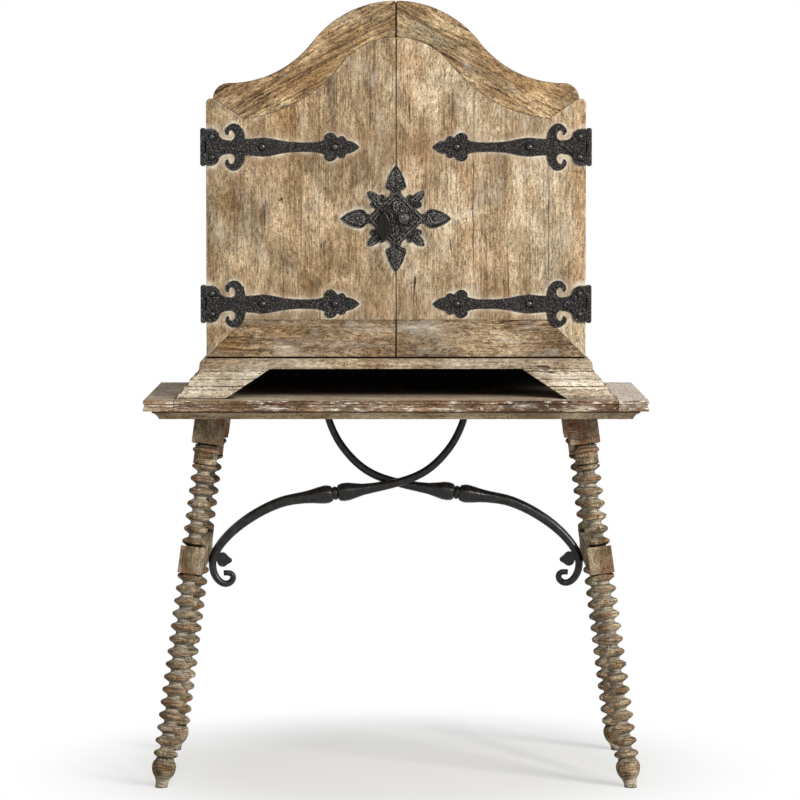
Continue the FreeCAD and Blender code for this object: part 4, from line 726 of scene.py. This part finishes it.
# Scrolls on the right half: centre, start and sweep in degrees, outer and inner reach
SCROLLS = (((13, 27), 200, -330, 8.0, 2.6), ((31, 11), 100, -300, 7.0, 2.2), ((30, -13), 250, 310, 7.5, 2.4),
           ((12, -28), 160, 330, 8.0, 2.6), ((6, 8), 250, -180, 8.5, 5.0))
SCROLL_RIM = ((0.45, 1.5), (0.2, 0.1))
for side, hand in ((-1, "left"), (1, "right")):
    body = body_of[hand + "_lock_plate"]
    on_lock(raised_field(DIAMOND, RAISED_FRONT, DIAMOND_RIMS, side), "lock_rims_" + hand, body)
    for turn, name in ((0, "top"), (180, "foot")):
        turn = math.radians(turn)
        on_lock(leaf(ARM_LEAF, LOCK_CENTRE.y, turn, side), "lock_" + name + "_leaf_" + hand, body)
        on_lock(leaf(FIELD_LEAF, CHASED_FRONT, turn, side), "lock_" + name + "_bud_" + hand, body)
    on_lock(leaf(ARM_LEAF, LOCK_CENTRE.y, math.radians(side * 90)), "lock_side_leaf_" + hand, body)
    for index, scroll in enumerate(SCROLLS):
        outline = [(side * x, z) for x, z in curl(*scroll)]
        on_lock(raised_field(outline, CHASED_FRONT, SCROLL_RIM, side),
                "lock_scroll_%d_%s" % (index, hand), body)
    for turn in (45, 135):
        on_lock(leaf(DIAGONAL_LEAF, LOCK_CENTRE.y, math.radians(side * turn)),
                "lock_leaf_%d_%s" % (turn, hand), body)

# The boss: a low hammered dome, spun round its own axis; each point is its reach and its height in mm
BOSS_X = 16.0 * MM
BOSS_PROFILE = ((0, 0), (12.5, 0), (12.5, 5.6), (11.9, 7.4), (10.2, 8.8), (7.4, 9.6), (3.8, 10.0), (0, 10.1))
skin = bmesh.new()
line = [skin.verts.new((BOSS_X + reach * MM, RAISED_FRONT - height * MM, 0.0))
        for reach, height in BOSS_PROFILE]
edges = [skin.edges.new(pair) for pair in zip(line, line[1:])]
bmesh.ops.spin(skin, geom=line + edges, cent=(BOSS_X, 0.0, 0.0), axis=(0.0, 1.0, 0.0),
               angle=math.radians(360), steps=40, use_merge=True, use_duplicate=False)
bmesh.ops.remove_doubles(skin, verts=skin.verts, dist=WELD_GAP)
dome = on_lock(skin, "lock_boss_dome", body_of["lock_boss"], irons["boss_iron"])
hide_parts("lock_boss")

# The camera of the picture: a long lens at chest height, tilted down a little instead of shifted far
camera_data = bpy.data.cameras.new("view")
camera_data.lens = 158.64
camera_data.sensor_width = 36.0
camera_data.shift_x = 0.005
camera_data.shift_y = -0.1
camera_data.clip_end = 60.0
camera = bpy.data.objects.new("view", camera_data)
camera.location = (0.0, -7.532, 1.3407)
camera.rotation_euler = (math.radians(87.147), 0.0, 0.0)
bpy.context.scene.collection.objects.link(camera)
bpy.context.scene.camera = camera


def seen_directly(tree):
    """1 for the rays that show a background: from the camera, off gloss and through glass."""
    path = put(tree, "ShaderNodeLightPath", {}).outputs
    seen = put(tree, "ShaderNodeMath", {"operation": "MAXIMUM"},
               {0: path["Is Camera Ray"], 1: path["Is Glossy Ray"]}).outputs[0]
    return put(tree, "ShaderNodeMath", {"operation": "MAXIMUM"},
               {0: seen, 1: path["Is Transmission Ray"]}).outputs[0]


# The floor: pale near the feet and white further off, where the room has no edge
FLOOR_HALF = 6.0
PALE_REACH, WHITE_REACH = 0.30, 0.85
NEAR_GLOW = 0.30
floor_skin = bmesh.new()
bmesh.ops.create_grid(floor_skin, x_segments=1, y_segments=1, size=FLOOR_HALF)
floor_mesh = bpy.data.meshes.new("floor")
floor_skin.to_mesh(floor_mesh)
floor_skin.free()
floor = bpy.data.objects.new("floor", floor_mesh)
bpy.context.scene.collection.objects.link(floor)
paper, paper_tree, paper_shader, paper_place = finish_of("white_studio_paper", 0.9)
paper_shader.inputs["Base Color"].default_value = tone("#f4f3f1")
paper_shader.inputs["Specular IOR Level"].default_value = 0.1
reach = put(paper_tree, "ShaderNodeVectorMath", {"operation": "LENGTH"}, {0: paper_place}).outputs["Value"]
fade = put(paper_tree, "ShaderNodeMapRange", {"interpolation_type": "SMOOTHSTEP"},
           {0: reach, 1: PALE_REACH, 2: WHITE_REACH, 3: NEAR_GLOW, 4: 1.0}).outputs[0]
fade = put(paper_tree, "ShaderNodeMath", {"operation": "MULTIPLY"},
           {0: fade, 1: seen_directly(paper_tree)}).outputs[0]
glow = put(paper_tree, "ShaderNodeEmission", {}, {"Color": tone(WHITE), "Strength": 1.0}).outputs[0]
mixed = put(paper_tree, "ShaderNodeMixShader", {}, {0: fade, 1: paper_shader.outputs[0], 2: glow}).outputs[0]
paper_tree.links.new(mixed, paper_tree.nodes["Material Output"].inputs["Surface"])
floor_mesh.materials.append(paper)

# The room's light: white where the camera sees it, softer where it lights the chest
ROOM_STRENGTH = 0.18
room = bpy.data.worlds.new("studio")
bpy.context.scene.world = room
room.use_nodes = True
room_tree = room.node_tree
soft = room_tree.nodes["Background"]
soft.inputs["Color"].default_value = tone(WHITE)
soft.inputs["Strength"].default_value = ROOM_STRENGTH
bright = put(room_tree, "ShaderNodeBackground", {}, {"Color": tone(WHITE), "Strength": 1.0}).outputs[0]
choice = put(room_tree, "ShaderNodeMixShader", {},
             {0: seen_directly(room_tree), 1: soft.outputs[0], 2: bright}).outputs[0]
room_tree.links.new(choice, room_tree.nodes["World Output"].inputs["Surface"])


def lamp(name, place, aim, size, power):
    """A square lamp of this size in metres and power in watts, turned to its aim."""
    light = bpy.data.lights.new(name, "AREA")
    light.shape = "SQUARE"
    light.size = size
    light.energy = power
    holder = bpy.data.objects.new(name, light)
    holder.location = place
    holder.rotation_euler = (Vector(aim) - Vector(place)).to_track_quat("-Z", "Y").to_euler()
    bpy.context.scene.collection.objects.link(holder)


lamp("window_right", (5.2, -4.6, 3.5), (0.0, 0.0, 0.9), 2.3, 440)
lamp("lamp_high_right", (2.4, -4.4, 3.6), (0.0, 0.0, 1.0), 0.22, 60)
lamp("fill_high_front", (0.3, -4.4, 4.2), (0.0, 0.0, 0.9), 1.6, 75)

bpy.context.scene.view_settings.view_transform = "Standard"
